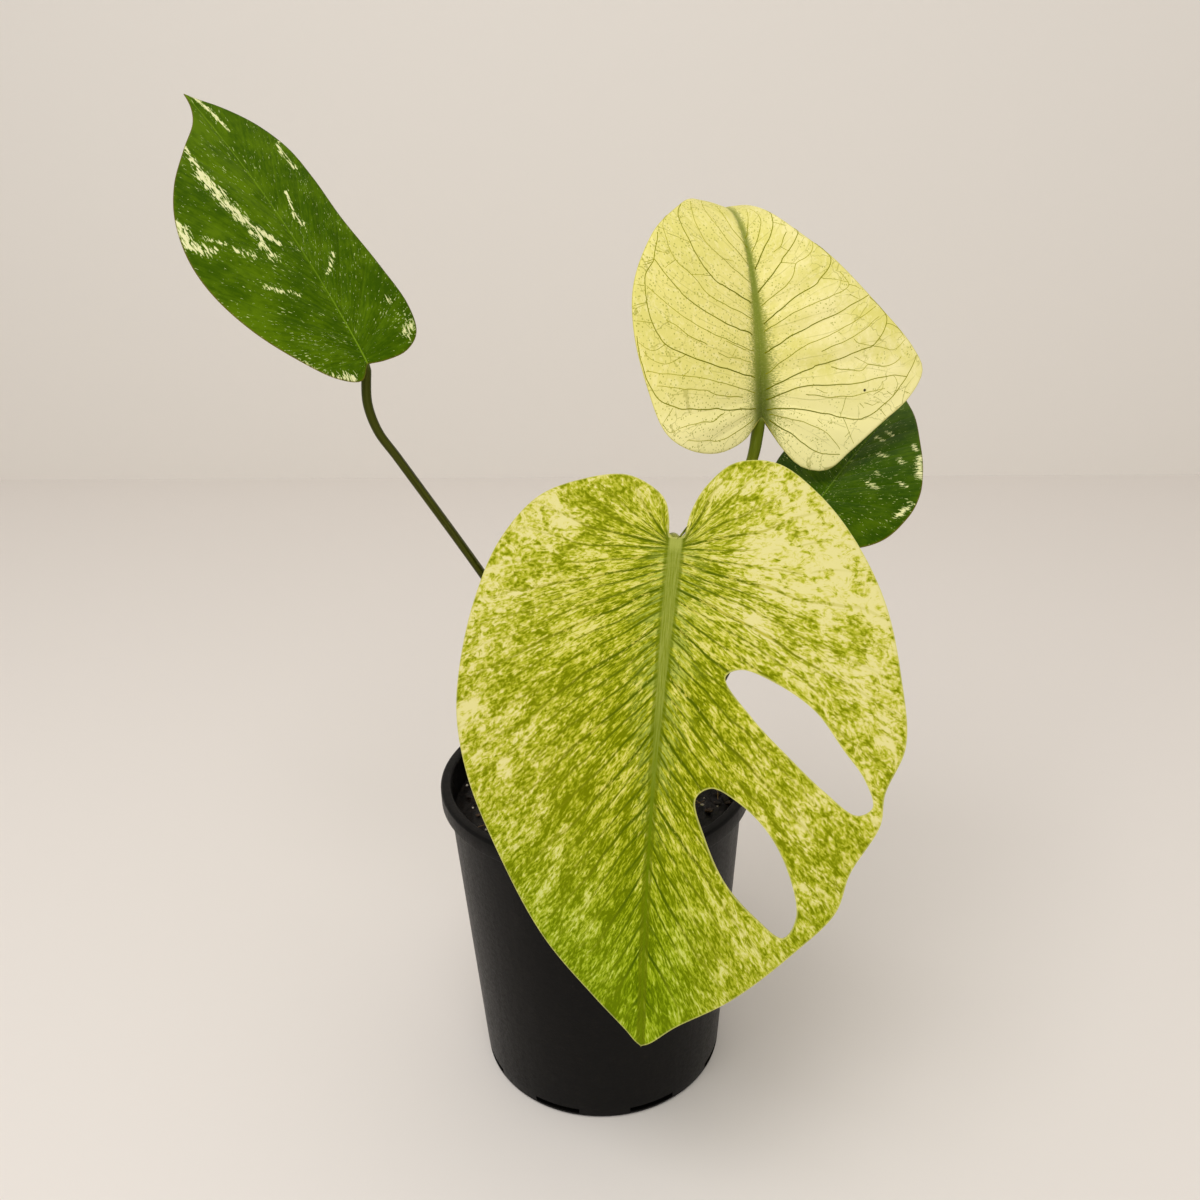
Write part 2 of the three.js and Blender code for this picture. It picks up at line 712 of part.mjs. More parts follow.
// The stalk from its foot beside the stem to the knuckle, grown by a clearance for its hole
function stalkTube(leaf, clearance) {
  const { stalk } = leaf;
  const { arrival, end } = stalkEnd(leaf);
  const angle = THREE.MathUtils.degToRad(stalk.footAngle);
  const foot = new THREE.Vector3(
    STEM_PLACE.x + STALK_FOOT_DISTANCE * Math.cos(angle),
    STEM_PLACE.y + STALK_FOOT_DISTANCE * Math.sin(angle),
    STALK_FOOT_LEVEL - clearance,
  );
  const route = stalk.route.map((point) => new THREE.Vector3(...point));
  const upright = foot.clone().lerp(route[0], 0.16);
  upright.x = (upright.x + foot.x) / 2;
  upright.y = (upright.y + foot.y) / 2;
  const curve = new THREE.CatmullRomCurve3([
    foot,
    upright,
    ...route,
    end.clone().addScaledVector(arrival, -GAP - 1.2 * stalk.knuckleRadius),
    end.clone().addScaledVector(arrival, -GAP),
  ], false, 'centripetal');
  const radiusAt = (fraction) => {
    const sheath = 1 - THREE.MathUtils.smoothstep(fraction, 0.02, 0.3);
    const swelling = THREE.MathUtils.smoothstep(fraction, 0.86, 1);
    return stalk.radius + (STALK_FOOT_RADIUS - stalk.radius) * sheath
      + (stalk.knuckleRadius - stalk.radius) * swelling + clearance;
  };
  return tubeGeometry(curve, radiusAt, STALK_STEPS, STALK_SIDES);
}

function namedMesh(name, geometry, colour, roughness) {
  const material = new THREE.MeshStandardMaterial({ color: colour, roughness, metalness: 0 });
  const mesh = new THREE.Mesh(geometry, material);
  mesh.name = name;
  return mesh;
}

const plant = new THREE.Group();
const leafEntries = Object.entries(LEAVES);

plant.add(namedMesh('pot', potGeometry(), 0x1e1c1a, 0.5));

const cavities = [
  geometryOf(stemSolid(GAP, STEM_TOP + 20)),
  ...leafEntries.map(([, leaf]) => stalkTube(leaf, GAP)),
];
plant.add(namedMesh('soil', soilGeometry(cavities), 0x1d1713, 0.95));
plant.add(namedMesh('stem', geometryOf(stemSolid(0, STEM_TOP)), 0x66702f, 0.6));

for (const [place, leaf] of leafEntries) {
  plant.add(namedMesh(`stalk_${place}`, stalkTube(leaf, 0), leaf.stalk.colour, 0.5));
  plant.add(namedMesh(`blade_${place}`, geometryOf(bladeSolid(leaf)), leaf.bladeColour, 0.45));
}

export default plant;
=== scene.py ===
# %% [markdown]
# A young variegated monstera in a black nursery pot
#
# This lesson dresses a finished CAD model. The CAD solids give the sizes and the places, and each
# cell replaces one of them by a finer piece with a real surface. Everything is in metres, +Z is
# up, and the origin is the centre of the pot's base.

# %% Load the CAD model as the frame
import math
import random
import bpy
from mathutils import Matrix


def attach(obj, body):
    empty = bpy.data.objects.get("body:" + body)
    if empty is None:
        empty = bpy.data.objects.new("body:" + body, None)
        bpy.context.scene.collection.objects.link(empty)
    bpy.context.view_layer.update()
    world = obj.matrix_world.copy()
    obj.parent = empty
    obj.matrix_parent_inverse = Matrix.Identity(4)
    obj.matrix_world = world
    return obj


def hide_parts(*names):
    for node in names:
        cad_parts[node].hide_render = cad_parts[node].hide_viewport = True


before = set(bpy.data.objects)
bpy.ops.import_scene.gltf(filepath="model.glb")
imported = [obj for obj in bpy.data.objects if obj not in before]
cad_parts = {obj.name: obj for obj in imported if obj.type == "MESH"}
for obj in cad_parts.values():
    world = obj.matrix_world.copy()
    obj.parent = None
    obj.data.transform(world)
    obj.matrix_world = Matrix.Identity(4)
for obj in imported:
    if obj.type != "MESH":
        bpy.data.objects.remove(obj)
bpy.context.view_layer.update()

from types import SimpleNamespace

import bpy
import numpy as np
from mathutils import Euler, Matrix, Vector, noise

MILLIMETRE = 0.001
print("CAD solids:", ", ".join(sorted(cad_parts)))

# %% [markdown]
# The camera stands a little above the plant and looks down on it, as the person with the
# camera did. Its lens decides how strongly the pot tapers. The pot's lip and base, the tips of
# the leaves and the line between the floor and the wall were used to find its place.

# %% Camera
CAMERA_PLACE = (0.0039, -0.3919, 0.3716)
CAMERA_PITCH = 21.72
CAMERA_ROLL = -1.57
CAMERA_LENS = 31.95
SENSOR_WIDTH = 36


def deselect_all():
    if bpy.context.object and bpy.context.object.mode != "OBJECT":
        bpy.ops.object.mode_set(mode="OBJECT")
    bpy.ops.object.select_all(action="DESELECT")


def select_only(wanted):
    deselect_all()
    wanted.select_set(True)
    bpy.context.view_layer.objects.active = wanted


def name_new(name):
    """Names the object that an operator has just added, and gives it back."""
    added = bpy.context.object
    added.name = added.data.name = name
    return added


deselect_all()
bpy.ops.object.camera_add(location=CAMERA_PLACE)
camera = name_new("camera")
camera.data.lens = CAMERA_LENS
camera.data.sensor_width = SENSOR_WIDTH
level_turn = Euler((math.radians(90 - CAMERA_PITCH), 0, 0)).to_matrix()
camera_turn = level_turn @ Matrix.Rotation(math.radians(CAMERA_ROLL), 3, "Z")
camera.rotation_euler = camera_turn.to_euler()
bpy.context.scene.camera = camera
print("camera", round(CAMERA_PITCH, 1), "degrees below the horizon")

# %% [markdown]
# The floor and the wall are one sheet: a plane whose far edge is extruded upwards. They are plain
# and pale, and they are staging, so they aren't part of the plant. A sheet with its own pale
# colour also sends soft light back up into the undersides of the leaves.

# %% Floor and wall
WALL_DISTANCE = 0.978
WALL_TURN = -4.96
FLOOR_SIZE = 3.2
WALL_HEIGHT = 2.2
FLOOR_COLOUR = (237, 231, 225)
WALL_COLOUR = (236, 231, 224)


def linear(colour):
    """A colour as screens give it, 0 to 255, as the light values that shaders use."""
    values = np.array(colour) / 255
    light = np.where(values <= 0.04045, values / 12.92, ((values + 0.055) / 1.055) ** 2.4)
    return (*light, 1.0)


def select_where(mesh_object, kind, test):
    """Selects the vertices, edges or faces that pass a test, with the object in edit mode after."""
    select_only(mesh_object)
    bpy.ops.object.mode_set(mode="EDIT")
    bpy.ops.mesh.select_mode(type=kind)
    bpy.ops.mesh.select_all(action="DESELECT")
    bpy.ops.object.mode_set(mode="OBJECT")
    mesh = mesh_object.data
    for part in {"VERT": mesh.vertices, "EDGE": mesh.edges, "FACE": mesh.polygons}[kind]:
        part.select = bool(test(part))
    bpy.ops.object.mode_set(mode="EDIT")


def plain_material(name, colour):
    material = bpy.data.materials.new(name)
    material.use_nodes = True
    inputs = material.node_tree.nodes["Principled BSDF"].inputs
    inputs["Base Color"].default_value = linear(colour)
    inputs["Roughness"].default_value = 0.8
    inputs["Specular IOR Level"].default_value = 0.2
    return material


wall_normal = Matrix.Rotation(math.radians(WALL_TURN), 3, "Z") @ Vector((0, 1, 0))
bpy.ops.mesh.primitive_plane_add(
    size=FLOOR_SIZE, location=wall_normal * (WALL_DISTANCE - FLOOR_SIZE / 2),
    rotation=(0, 0, math.radians(WALL_TURN)))
backdrop = name_new("backdrop")
bpy.ops.object.transform_apply(location=True, rotation=True)
select_where(backdrop, "EDGE", lambda edge: all(
    backdrop.data.vertices[index].co.dot(wall_normal) > WALL_DISTANCE - 0.001
    for index in edge.vertices))
bpy.ops.mesh.extrude_region_move(TRANSFORM_OT_translate={"value": (0, 0, WALL_HEIGHT)})
bpy.ops.object.mode_set(mode="OBJECT")
backdrop.data.materials.append(plain_material("pale_floor", FLOOR_COLOUR))
backdrop.data.materials.append(plain_material("pale_wall", WALL_COLOUR))
for face in backdrop.data.polygons:
    face.material_index = 1 if face.center.z > 0.01 else 0
print("backdrop", len(backdrop.data.polygons), "faces")

# %% [markdown]
# Soft studio light comes from one wide lamp above and in front, like a window or a softbox, from
# a weak fill lower down and from an even pale surround. A wide lamp gives shadows without edges.
# The Standard view keeps the colours of the leaves as they are mixed, without a film look.

# %% Light
LAMP_PLACE = (-0.35, -0.75, 1.45)
LAMP_POWER = 11.5
FILL_PLACE = (0.3, -1.2, 0.22)
FILL_POWER = 2.6
LAMP_SIZE = 1.0
LAMP_AIM = Vector((0, 0, 0.2))
SURROUND_COLOUR = (255, 251, 246)
SURROUND_STRENGTH = 0.6


def soft_lamp(name, place, power):
    deselect_all()
    bpy.ops.object.light_add(type="AREA", location=place)
    lamp = name_new(name)
    lamp.data.size = LAMP_SIZE
    lamp.data.energy = power
    lamp.rotation_euler = (LAMP_AIM - lamp.location).to_track_quat("-Z", "Y").to_euler()


soft_lamp("softbox", LAMP_PLACE, LAMP_POWER)
soft_lamp("fill", FILL_PLACE, FILL_POWER)
surround = bpy.data.worlds.new("surround")
surround.use_nodes = True
surround_inputs = surround.node_tree.nodes["Background"].inputs
surround_inputs["Color"].default_value = linear(SURROUND_COLOUR)
surround_inputs["Strength"].default_value = SURROUND_STRENGTH
bpy.context.scene.world = surround
bpy.context.scene.view_settings.view_transform = "Standard"
print("lamp", LAMP_POWER, "W, fill", FILL_POWER, "W, surround", SURROUND_STRENGTH)

# %% [markdown]
# A leaf is grown flat and bent afterwards. In its flat drawing, in millimetres, u runs across the
# leaf and v along the midrib, from the notch where the stalk joins to the tip. The margin is a
# smooth line through a few points, one list for each half. These are the tools that draw it.

# %% Smooth lines
def smooth_line(points, spacing=0.5, closed=False):
    """A line that runs smoothly through the points, as many short steps."""
    points = np.array(points, float)
    if closed:
        points = np.vstack([points[-1], points, points[:2]])
    else:
        points = np.vstack([2 * points[0] - points[1], points, 2 * points[-1] - points[-2]])
    line = [points[1]]
    for before, start, end, after in zip(points, points[1:], points[2:], points[3:]):
        gap_in, gap, gap_out = (
            math.sqrt(np.linalg.norm(b - a)) for a, b in ((before, start), (start, end), (end, after))
        )
        leaving = ((start - before) / gap_in - (end - before) / (gap_in + gap)
                   + (end - start) / gap) * gap
        arriving = ((end - start) / gap - (after - start) / (gap + gap_out)
                    + (after - end) / gap_out) * gap
        steps = max(2, math.ceil(np.linalg.norm(end - start) / spacing))
        for step in range(1, steps + 1):
            f = step / steps
            line.append(start * (2 * f**3 - 3 * f**2 + 1) + leaving * (f**3 - 2 * f**2 + f)
                        + end * (3 * f**2 - 2 * f**3) + arriving * (f**3 - f**2))
    return np.array(line)


def along_line(line, fractions):
    """The points at these fractions of the line's length."""
    strides = np.linalg.norm(np.diff(line, axis=0), axis=1)
    distance = np.concatenate([[0], np.cumsum(strides)])
    wanted = np.asarray(fractions) * distance[-1]
    return np.stack([np.interp(wanted, distance, line[:, axis])
                     for axis in range(line.shape[1])], axis=-1)


def smoothstep(value, start, end):
    ramp = np.clip((value - start) / (end - start), 0, 1)
    return ramp * ramp * (3 - 2 * ramp)


print("a line through 3 points has", len(smooth_line([(0, 0), (5, 4), (10, 0)])), "steps")

# %% [markdown]
# Bending gives the leaf its pose. heading and pitch point the midrib and roll turns the leaf about
# it. arch is the angle that the midrib bends through, and curl adds to it past a part of the
# length. fold lifts each half from the midrib, droop lowers it again towards the margin, and sway
# swings the tip sideways. The same numbers shaped the CAD solids, so the two agree.

# %% Bend a flat leaf
def leaf_directions(leaf):
    """Along the midrib, out of the upper face, and across, where the stalk joins."""
    heading, pitch, roll = (math.radians(leaf[key]) for key in ("heading", "pitch", "roll"))
    along = np.array([math.cos(pitch) * math.cos(heading), math.cos(pitch) * math.sin(heading),
                      math.sin(pitch)])
    level = np.array([-math.sin(pitch) * math.cos(heading), -math.sin(pitch) * math.sin(heading),
                      math.cos(pitch)])
    side = np.cross(along, level)
    out = level * math.cos(roll) + side * math.sin(roll)
    across = side * math.cos(roll) - level * math.sin(roll)
    return along, out, across


def bend_leaf(leaf, u, v, lift):
    """Places in space, in millimetres, for places in the drawing, raised from it by lift."""
    along, out, across = leaf_directions(leaf)
    table = np.arange(0, leaf["length"] + 20, 0.5)

    def bend_at(v):
        past = np.maximum(0, v / leaf["length"] - leaf["curl_from"]) / (1 - leaf["curl_from"])
        return np.radians(leaf["arch"] * v / leaf["length"] + leaf["curl"] * past**2)

    middles = (table[1:] + table[:-1]) / 2
    ahead = np.concatenate([[0], np.cumsum(0.5 * np.cos(bend_at(middles)))])
    below = np.concatenate([[0], np.cumsum(0.5 * np.sin(bend_at(middles)))])
    up = np.maximum(v, 0)
    bend = bend_at(up)
    side = (u > 0).astype(int)
    progress = np.clip(v / leaf["length"], 0, 1)
    fold = np.array(leaf["fold"])[side] * (1 - 0.4 * progress)
    droop = np.array(leaf["droop"])[side] * np.abs(u) / leaf["half_width"] / 2
    slope = np.radians(fold - droop)
    out_here = np.outer(np.cos(bend), out) + np.outer(np.sin(bend), along)
    return (np.array(leaf["base"])
            + np.outer(np.interp(up, table, ahead) + np.minimum(v, 0), along)
            - np.outer(np.interp(up, table, below), out)
            + np.outer(u * np.cos(slope) + leaf["sway"] * progress**2, across)
            + out_here * (np.abs(u) * np.sin(slope) + lift)[:, None])


def midrib_place(leaf, v, lift):
    return bend_leaf(leaf, np.array([0.0]), np.array([float(v)]), np.array([float(lift)]))[0]

# %% [markdown]
# Side veins leave the midrib and lean towards the tip. Mesh rows that follow them let the
# creases be real geometry, and let the colour run the way that it grew. Each row is a bow from the
# midrib to the margin. The rows are counted in veins: row 3.0 is the third side vein, and the
# mesh has more rows close to each vein, where the surface turns sharply.

# %% Rows that follow the veins
MIDRIB_COLUMNS = (0, 0.003, 0.008, 0.015, 0.025, 0.04, 0.06)
MARGIN_COLUMNS = (0.905, 0.93, 0.95, 0.965, 0.978, 0.988, 0.995, 1)
COLUMN_STEP = 0.034
END_ROW = 0.25
ROW_STEP = 0.02
NOTCH_COLUMNS = 0.06
NOTCH_LIMITS = (-20, 20)
NOTCH_TURN = 6
ROW_BOW = 0.1


def leaf_columns():
    """Fractions of the way from the midrib to the margin, closest at both ends."""
    middle = np.arange(MIDRIB_COLUMNS[-1] + COLUMN_STEP, MARGIN_COLUMNS[0] - 0.01, COLUMN_STEP)
    return np.concatenate([MIDRIB_COLUMNS, middle, MARGIN_COLUMNS])


def vein_rows(leaf, rows_between):
    """Row numbers, counted in veins, that crowd together at each vein and half vein."""
    last = len(leaf["veins"])
    marks = [1 - 3 * END_ROW, *np.arange(0.5, last + 0.75, 0.5), last + 3 * END_ROW]
    easing = 0.5 - 0.5 * np.cos(np.pi * np.arange(rows_between) / rows_between)
    rows = [start + (end - start) * easing for start, end in zip(marks, marks[1:])]
    return np.concatenate([*rows, [marks[-1]]])


def vein_fraction(leaf, rows):
    """How far along the margin a row ends, from the notch at 0 to the tip at 1."""
    last = len(leaf["veins"])
    return np.interp(rows, [END_ROW, *range(1, last + 1), last + 3 * END_ROW],
                     [0, *leaf["veins"], 1])


def row_places(leaf, margin, rows, columns):
    """Each row runs level along the notch's floor, if there is one, and bows to the margin."""
    fraction = vein_fraction(leaf, rows)[:, None]
    end = along_line(margin, fraction)
    side, reach, height = np.sign(end[..., 0]), np.abs(end[..., 0]), end[..., 1]
    top = margin[0, 1]
    start = leaf["length"] * (0.12 * fraction + 0.88 * fraction**3)
    halfway = (start + height) / 2 - ROW_BOW * reach * smoothstep(height, 0, 0.4 * leaf["length"])
    slanted = top + (leaf["length"] - top) * (0.05 * fraction + 0.95 * fraction**3.7)
    start = start + leaf["slant"] * (slanted - start)
    narrow = np.minimum(reach + np.minimum(0.1 * (top - height), 0.8), NOTCH_TURN)
    outwards = np.maximum(reach / 2, narrow * (leaf["notch"] > 0))
    notch = leaf["notch"] * (1 - smoothstep(height, *NOTCH_LIMITS))
    bend = NOTCH_COLUMNS * notch[..., None] / max(leaf["notch"], 1)
    column = columns[None, :, None]
    level = (np.minimum(column / np.maximum(bend, 1e-9), 1)
             * np.minimum(0.85 * reach, notch)[..., None])[..., 0]
    past = np.clip((column - bend) / (1 - bend), 0, 1)
    first = np.stack([side * level, start + 0 * level], -1)
    middle = np.stack([side * outwards, halfway], -1)
    return first * (1 - past) ** 2 + middle * 2 * past * (1 - past) + end * past**2


def half_drawing(leaf, half, rows, columns):
    """Flat places, the spacing of the veins and the distance along them, for a half leaf."""
    margin = smooth_line(leaf["margins"][half])
    flat, before, after = (row_places(leaf, margin, rows + shift, columns)
                           for shift in (0, -ROW_STEP, ROW_STEP))
    step = (after - before) / (2 * ROW_STEP)
    along = np.gradient(flat, axis=1)
    length = np.maximum(np.linalg.norm(along, axis=-1), 1e-6)
    spacing = np.abs(step[..., 0] * along[..., 1] - step[..., 1] * along[..., 0]) / length
    strides = np.linalg.norm(np.diff(flat, axis=1), axis=-1)
    run = np.concatenate([np.zeros((len(rows), 1)), np.cumsum(strides, axis=1)], axis=1)
    return flat, spacing, run


print("columns from midrib to margin:", len(leaf_columns()))

# %% [markdown]
# The sheet itself starts as a grid, which is laid on the drawing vertex by vertex. What each
# vertex knows about the leaf is kept in three UV maps, because a cut later passes UV maps on to
# the new vertices of its edge: the drawing itself, the vein count with the vein spacing, and the
# distance along the vein with the part of the way to the margin.

# %% Lay the grid on the drawing
UV_UNIT = 100


def mesh_places(mesh):
    places = np.empty(len(mesh.vertices) * 3)
    mesh.vertices.foreach_get("co", places)
    return places.reshape(-1, 3)


def set_mesh_places(mesh, places):
    mesh.vertices.foreach_set("co", np.ascontiguousarray(places, float).ravel())
    mesh.update()


def add_uv_map(mesh, name, values):
    """Stores two numbers for each vertex as a UV map."""
    corners = np.empty(len(mesh.loops), int)
    mesh.loops.foreach_get("vertex_index", corners)
    layer = mesh.uv_layers.get(name) or mesh.uv_layers.new(name=name)
    layer.uv.foreach_set("vector", np.ascontiguousarray(values[corners], float).ravel())


def read_uv_map(mesh, name):
    """The two numbers of a UV map, for each vertex of the flat faces."""
    values = np.empty(len(mesh.loops) * 2)
    mesh.uv_layers[name].uv.foreach_get("vector", values)
    values = values.reshape(-1, 2)
    result = np.zeros((len(mesh.vertices), 2))
    for face in mesh.polygons:
        if abs(face.normal.z) > 0.5:
            result[list(face.vertices)] = values[list(face.loop_indices)]
    return result


def finish_edit():
    """Turns every face outwards and leaves edit mode."""
    bpy.ops.mesh.select_all(action="SELECT")
    bpy.ops.mesh.normals_make_consistent(inside=False)
    bpy.ops.object.mode_set(mode="OBJECT")


def merge_close(mesh_object, distance):
    select_where(mesh_object, "VERT", lambda vertex: True)
    bpy.ops.mesh.remove_doubles(threshold=distance)
    finish_edit()


def leaf_sheet(leaf, name, rows_between):
    """A flat sheet with the leaf's outline, in millimetres, with its three UV maps."""
    rows = vein_rows(leaf, rows_between)
    half_columns = leaf_columns()
    count = len(half_columns) - 1
    halves = [half_drawing(leaf, half, rows, half_columns) for half in (0, 1)]
    deselect_all()
    bpy.ops.mesh.primitive_grid_add(
        x_subdivisions=2 * count, y_subdivisions=len(rows) - 1, size=2)
    sheet = name_new(name)
    grid = mesh_places(sheet.data)
    row = np.rint((grid[:, 1] + 1) / 2 * (len(rows) - 1)).astype(int)
    column = np.rint(grid[:, 0] * count).astype(int)
    half, column, sign = (column > 0).astype(int), np.abs(column), np.sign(column)
    flat, spacing, run = (
        np.stack([halves[0][part], halves[1][part]])[half, row, column] for part in range(3)
    )
    set_mesh_places(sheet.data, np.column_stack([flat, np.zeros(len(flat))]))
    add_uv_map(sheet.data, "drawing", flat / UV_UNIT)
    add_uv_map(sheet.data, "veins", np.column_stack([rows[row], spacing / UV_UNIT]))
    add_uv_map(sheet.data, "run",
               np.column_stack([sign * run / UV_UNIT, half_columns[column]]))
    merge_close(sheet, 0.01)
    return sheet

# %% [markdown]
# A leaf blade has an upper and a lower face. Solidify gives the flat sheet both, and its true
# thickness comes with the relief. The holes are cut while it is still flat, with an exact
# Boolean: each cutter is a circle laid on the hole's outline and extruded through the sheet. The
# faces below get their own material slot, because the underside of a leaf is paler and duller.

# %% Thickness and holes
FLAT_THICKNESS = 1.0
CUTTER_REACH = 3


def apply_modifier(mesh_object, kind, **settings):
    select_only(mesh_object)
    modifier = mesh_object.modifiers.new(kind.lower(), kind)
    for key, value in settings.items():
        setattr(modifier, key, value)
    bpy.ops.object.modifier_apply(modifier=modifier.name)


def remove_object(mesh_object):
    mesh = mesh_object.data
    bpy.data.objects.remove(mesh_object)
    bpy.data.meshes.remove(mesh)


def cut_with(mesh_object, cutter, operation="DIFFERENCE"):
    apply_modifier(mesh_object, "BOOLEAN", object=cutter, operation=operation, solver="EXACT")
    remove_object(cutter)


def hole_outline(hole):
    line = smooth_line(hole, spacing=0.9, closed=True)[:-1]
    area = np.sum(line[:, 0] * np.roll(line[:, 1], -1) - np.roll(line[:, 0], -1) * line[:, 1])
    return line if area > 0 else line[::-1]


def cut_hole(sheet, hole):
    line = hole_outline(hole)
    deselect_all()
    bpy.ops.mesh.primitive_circle_add(vertices=len(line), radius=1, fill_type="NGON")
    cutter = bpy.context.object
    circle = mesh_places(cutter.data)
    turn = np.arctan2(circle[:, 1], circle[:, 0]) % (2 * np.pi)
    order = np.rint(turn / (2 * np.pi) * len(line)).astype(int) % len(line)
    set_mesh_places(cutter.data, np.column_stack([line[order], np.full(len(line), -CUTTER_REACH)]))
    select_where(cutter, "FACE", lambda face: True)
    bpy.ops.mesh.extrude_region_move(TRANSFORM_OT_translate={"value": (0, 0, 2 * CUTTER_REACH)})
    finish_edit()
    cut_with(sheet, cutter)


def thicken_leaf(sheet, holes):
    apply_modifier(sheet, "SOLIDIFY", thickness=FLAT_THICKNESS, offset=0.0)
    for hole in holes:
        cut_hole(sheet, hole)
    normals = np.empty(len(sheet.data.polygons) * 3)
    sheet.data.polygons.foreach_get("normal", normals)
    sheet.data.materials.append(None)
    sheet.data.materials.append(None)
    slots = (normals.reshape(-1, 3)[:, 2] < -0.5).astype(int)
    sheet.data.polygons.foreach_set("material_index", slots)
    print(sheet.name, len(sheet.data.polygons), "faces,", len(holes), "holes")

# %% [markdown]
# Relief makes the leaf live: it swells between the side veins, each vein is a fine crease above
# and a ridge below, the midrib is a flat band above and a rounded keel below, and the blade thins
# towards its rim. All of that is added while each vertex is bent into its place.

# %% Relief and bending
BLADE_THICKNESS = 0.9
RIB_REACH = 0.64
RIB_TIP_HALF_WIDTH = 0.4
VEIN_CREASE_WIDTH = 0.55
VEIN_RIDGE_WIDTH = 0.7
VEIN_RIDGE = 0.3
GUTTER_DEPTH = 0.25
RIB_RISE = 0.15


def distance_to_lines(u, v, lines):
    """The distance of each place in the drawing to the nearest of some lines."""
    nearest = np.full(len(u), 1e3)
    places = np.column_stack([u, v])
    for line in lines:
        line = np.asarray(line, float)
        for start, end in zip(line, line[1:]):
            step = end - start
            f = np.clip((places - start) @ step / max(step @ step, 1e-9), 0, 1)
            away = np.linalg.norm(places - start - f[:, None] * step, axis=1)
            nearest = np.minimum(nearest, away)
    return nearest


def leaf_facts(leaf, mesh):
    """What each vertex knows about its place in the leaf."""
    maps = {name: read_uv_map(mesh, name) for name in ("drawing", "veins", "run")}
    for name, values in maps.items():
        add_uv_map(mesh, name, values)
    u, v = maps["drawing"].T * UV_UNIT
    rims = [np.vstack([line, line[:1]]) for line in map(hole_outline, leaf["holes"])]
    edges = [smooth_line(points, spacing=1.5) for points in leaf["margins"]]
    vein, spacing = maps["veins"].T
    return {
        "u": u, "v": v, "vein": vein, "spacing": spacing * UV_UNIT,
        "column": maps["run"][:, 1], "along": vein_fraction(leaf, vein),
        "rim": distance_to_lines(u, v, rims), "edge": distance_to_lines(u, v, edges),
    }


def vein_bump(facts, width, halfway, faintness):
    """1 on every vein, and less on the fainter ones halfway, falling to 0 over their widths."""
    strong = np.abs(facts["vein"] - np.rint(facts["vein"])) * facts["spacing"]
    faint = np.abs(facts["vein"] % 1 - 0.5) * facts["spacing"]
    return np.exp(-(strong / width) ** 2) + faintness * np.exp(-(faint / halfway) ** 2)


def leaf_relief(leaf, facts, upper):
    column, along = facts["column"], facts["along"]
    body = np.sin(np.pi * np.clip(column, 0, 1)) ** 0.7 * np.sin(np.pi * along) ** 0.5
    near_rim = smoothstep(np.minimum(facts["rim"], facts["edge"]), 0, 7)
    swell = leaf["swell"] * (0.5 - 0.5 * np.cos(2 * np.pi * facts["vein"])) * body * near_rim
    fade = smoothstep(column, 0.02, 0.1) * (1 - smoothstep(column, 0.82, 0.97)) * near_rim
    thin = np.sqrt(np.clip(np.minimum(facts["edge"] / 0.9, 0.3 + facts["rim"] / 1.2), 0.06, 1))
    half_thick = BLADE_THICKNESS / 2 * thin
    narrowing = 1 - smoothstep(np.clip(facts["v"] / leaf["length"], 0, 1), 0, RIB_REACH)
    rib_half_width = (RIB_TIP_HALF_WIDTH
                      + (leaf["midrib_width"] / 2 - RIB_TIP_HALF_WIDTH) * narrowing)
    rib = np.clip(1 - (facts["u"] / rib_half_width) ** 2, 0, 1)
    rib_ends = smoothstep(facts["v"], -2, 3)
    if upper:
        crease = leaf["crease"] * vein_bump(facts, VEIN_CREASE_WIDTH, 0.45, 0.35) * fade
        gutter = GUTTER_DEPTH * np.exp(-((np.abs(facts["u"]) - rib_half_width) / 0.7) ** 2)
        return swell + half_thick - crease - (gutter - RIB_RISE * np.sqrt(rib)) * rib_ends * near_rim
    ridge = VEIN_RIDGE * vein_bump(facts, VEIN_RIDGE_WIDTH, 0.5, 0.3) * fade
    keel = leaf["midrib_depth"] * (1 - 0.85 * along) * np.sqrt(rib) * rib_ends
    return swell - half_thick - ridge - keel


def add_attribute(mesh, name, values):
    layer = mesh.attributes.new(name, "FLOAT", "POINT")
    layer.data.foreach_set("value", np.ascontiguousarray(values, float))


def smooth_shading(mesh_object, angle):
    select_only(mesh_object)
    bpy.ops.object.shade_smooth_by_angle(angle=math.radians(angle))


def make_leaf(leaf, name, rows_between):
    """The finished leaf blade, and the facts of its vertices for the markings."""
    sheet = leaf_sheet(leaf, name, rows_between)
    thicken_leaf(sheet, leaf["holes"])
    facts = leaf_facts(leaf, sheet.data)
    upper = mesh_places(sheet.data)[:, 2] > 0
    lift = np.where(upper, leaf_relief(leaf, facts, True), leaf_relief(leaf, facts, False))
    bent = bend_leaf(leaf, facts["u"], facts["v"], lift)
    set_mesh_places(sheet.data, bent * MILLIMETRE)
    add_attribute(sheet.data, "rim", np.minimum(facts["rim"], facts["edge"]))
    smooth_shading(sheet, 50)
    return sheet, facts

# %% [markdown]
# A material is a recipe of nodes. A Value is what a node gives, and sums, fades and mixes of
# values add the next nodes. So the recipes below read as a list of steps: take a place, make a
# noise from it, sort it into tones, mix the colours. A value that is the same everywhere is set
# on the shader itself.

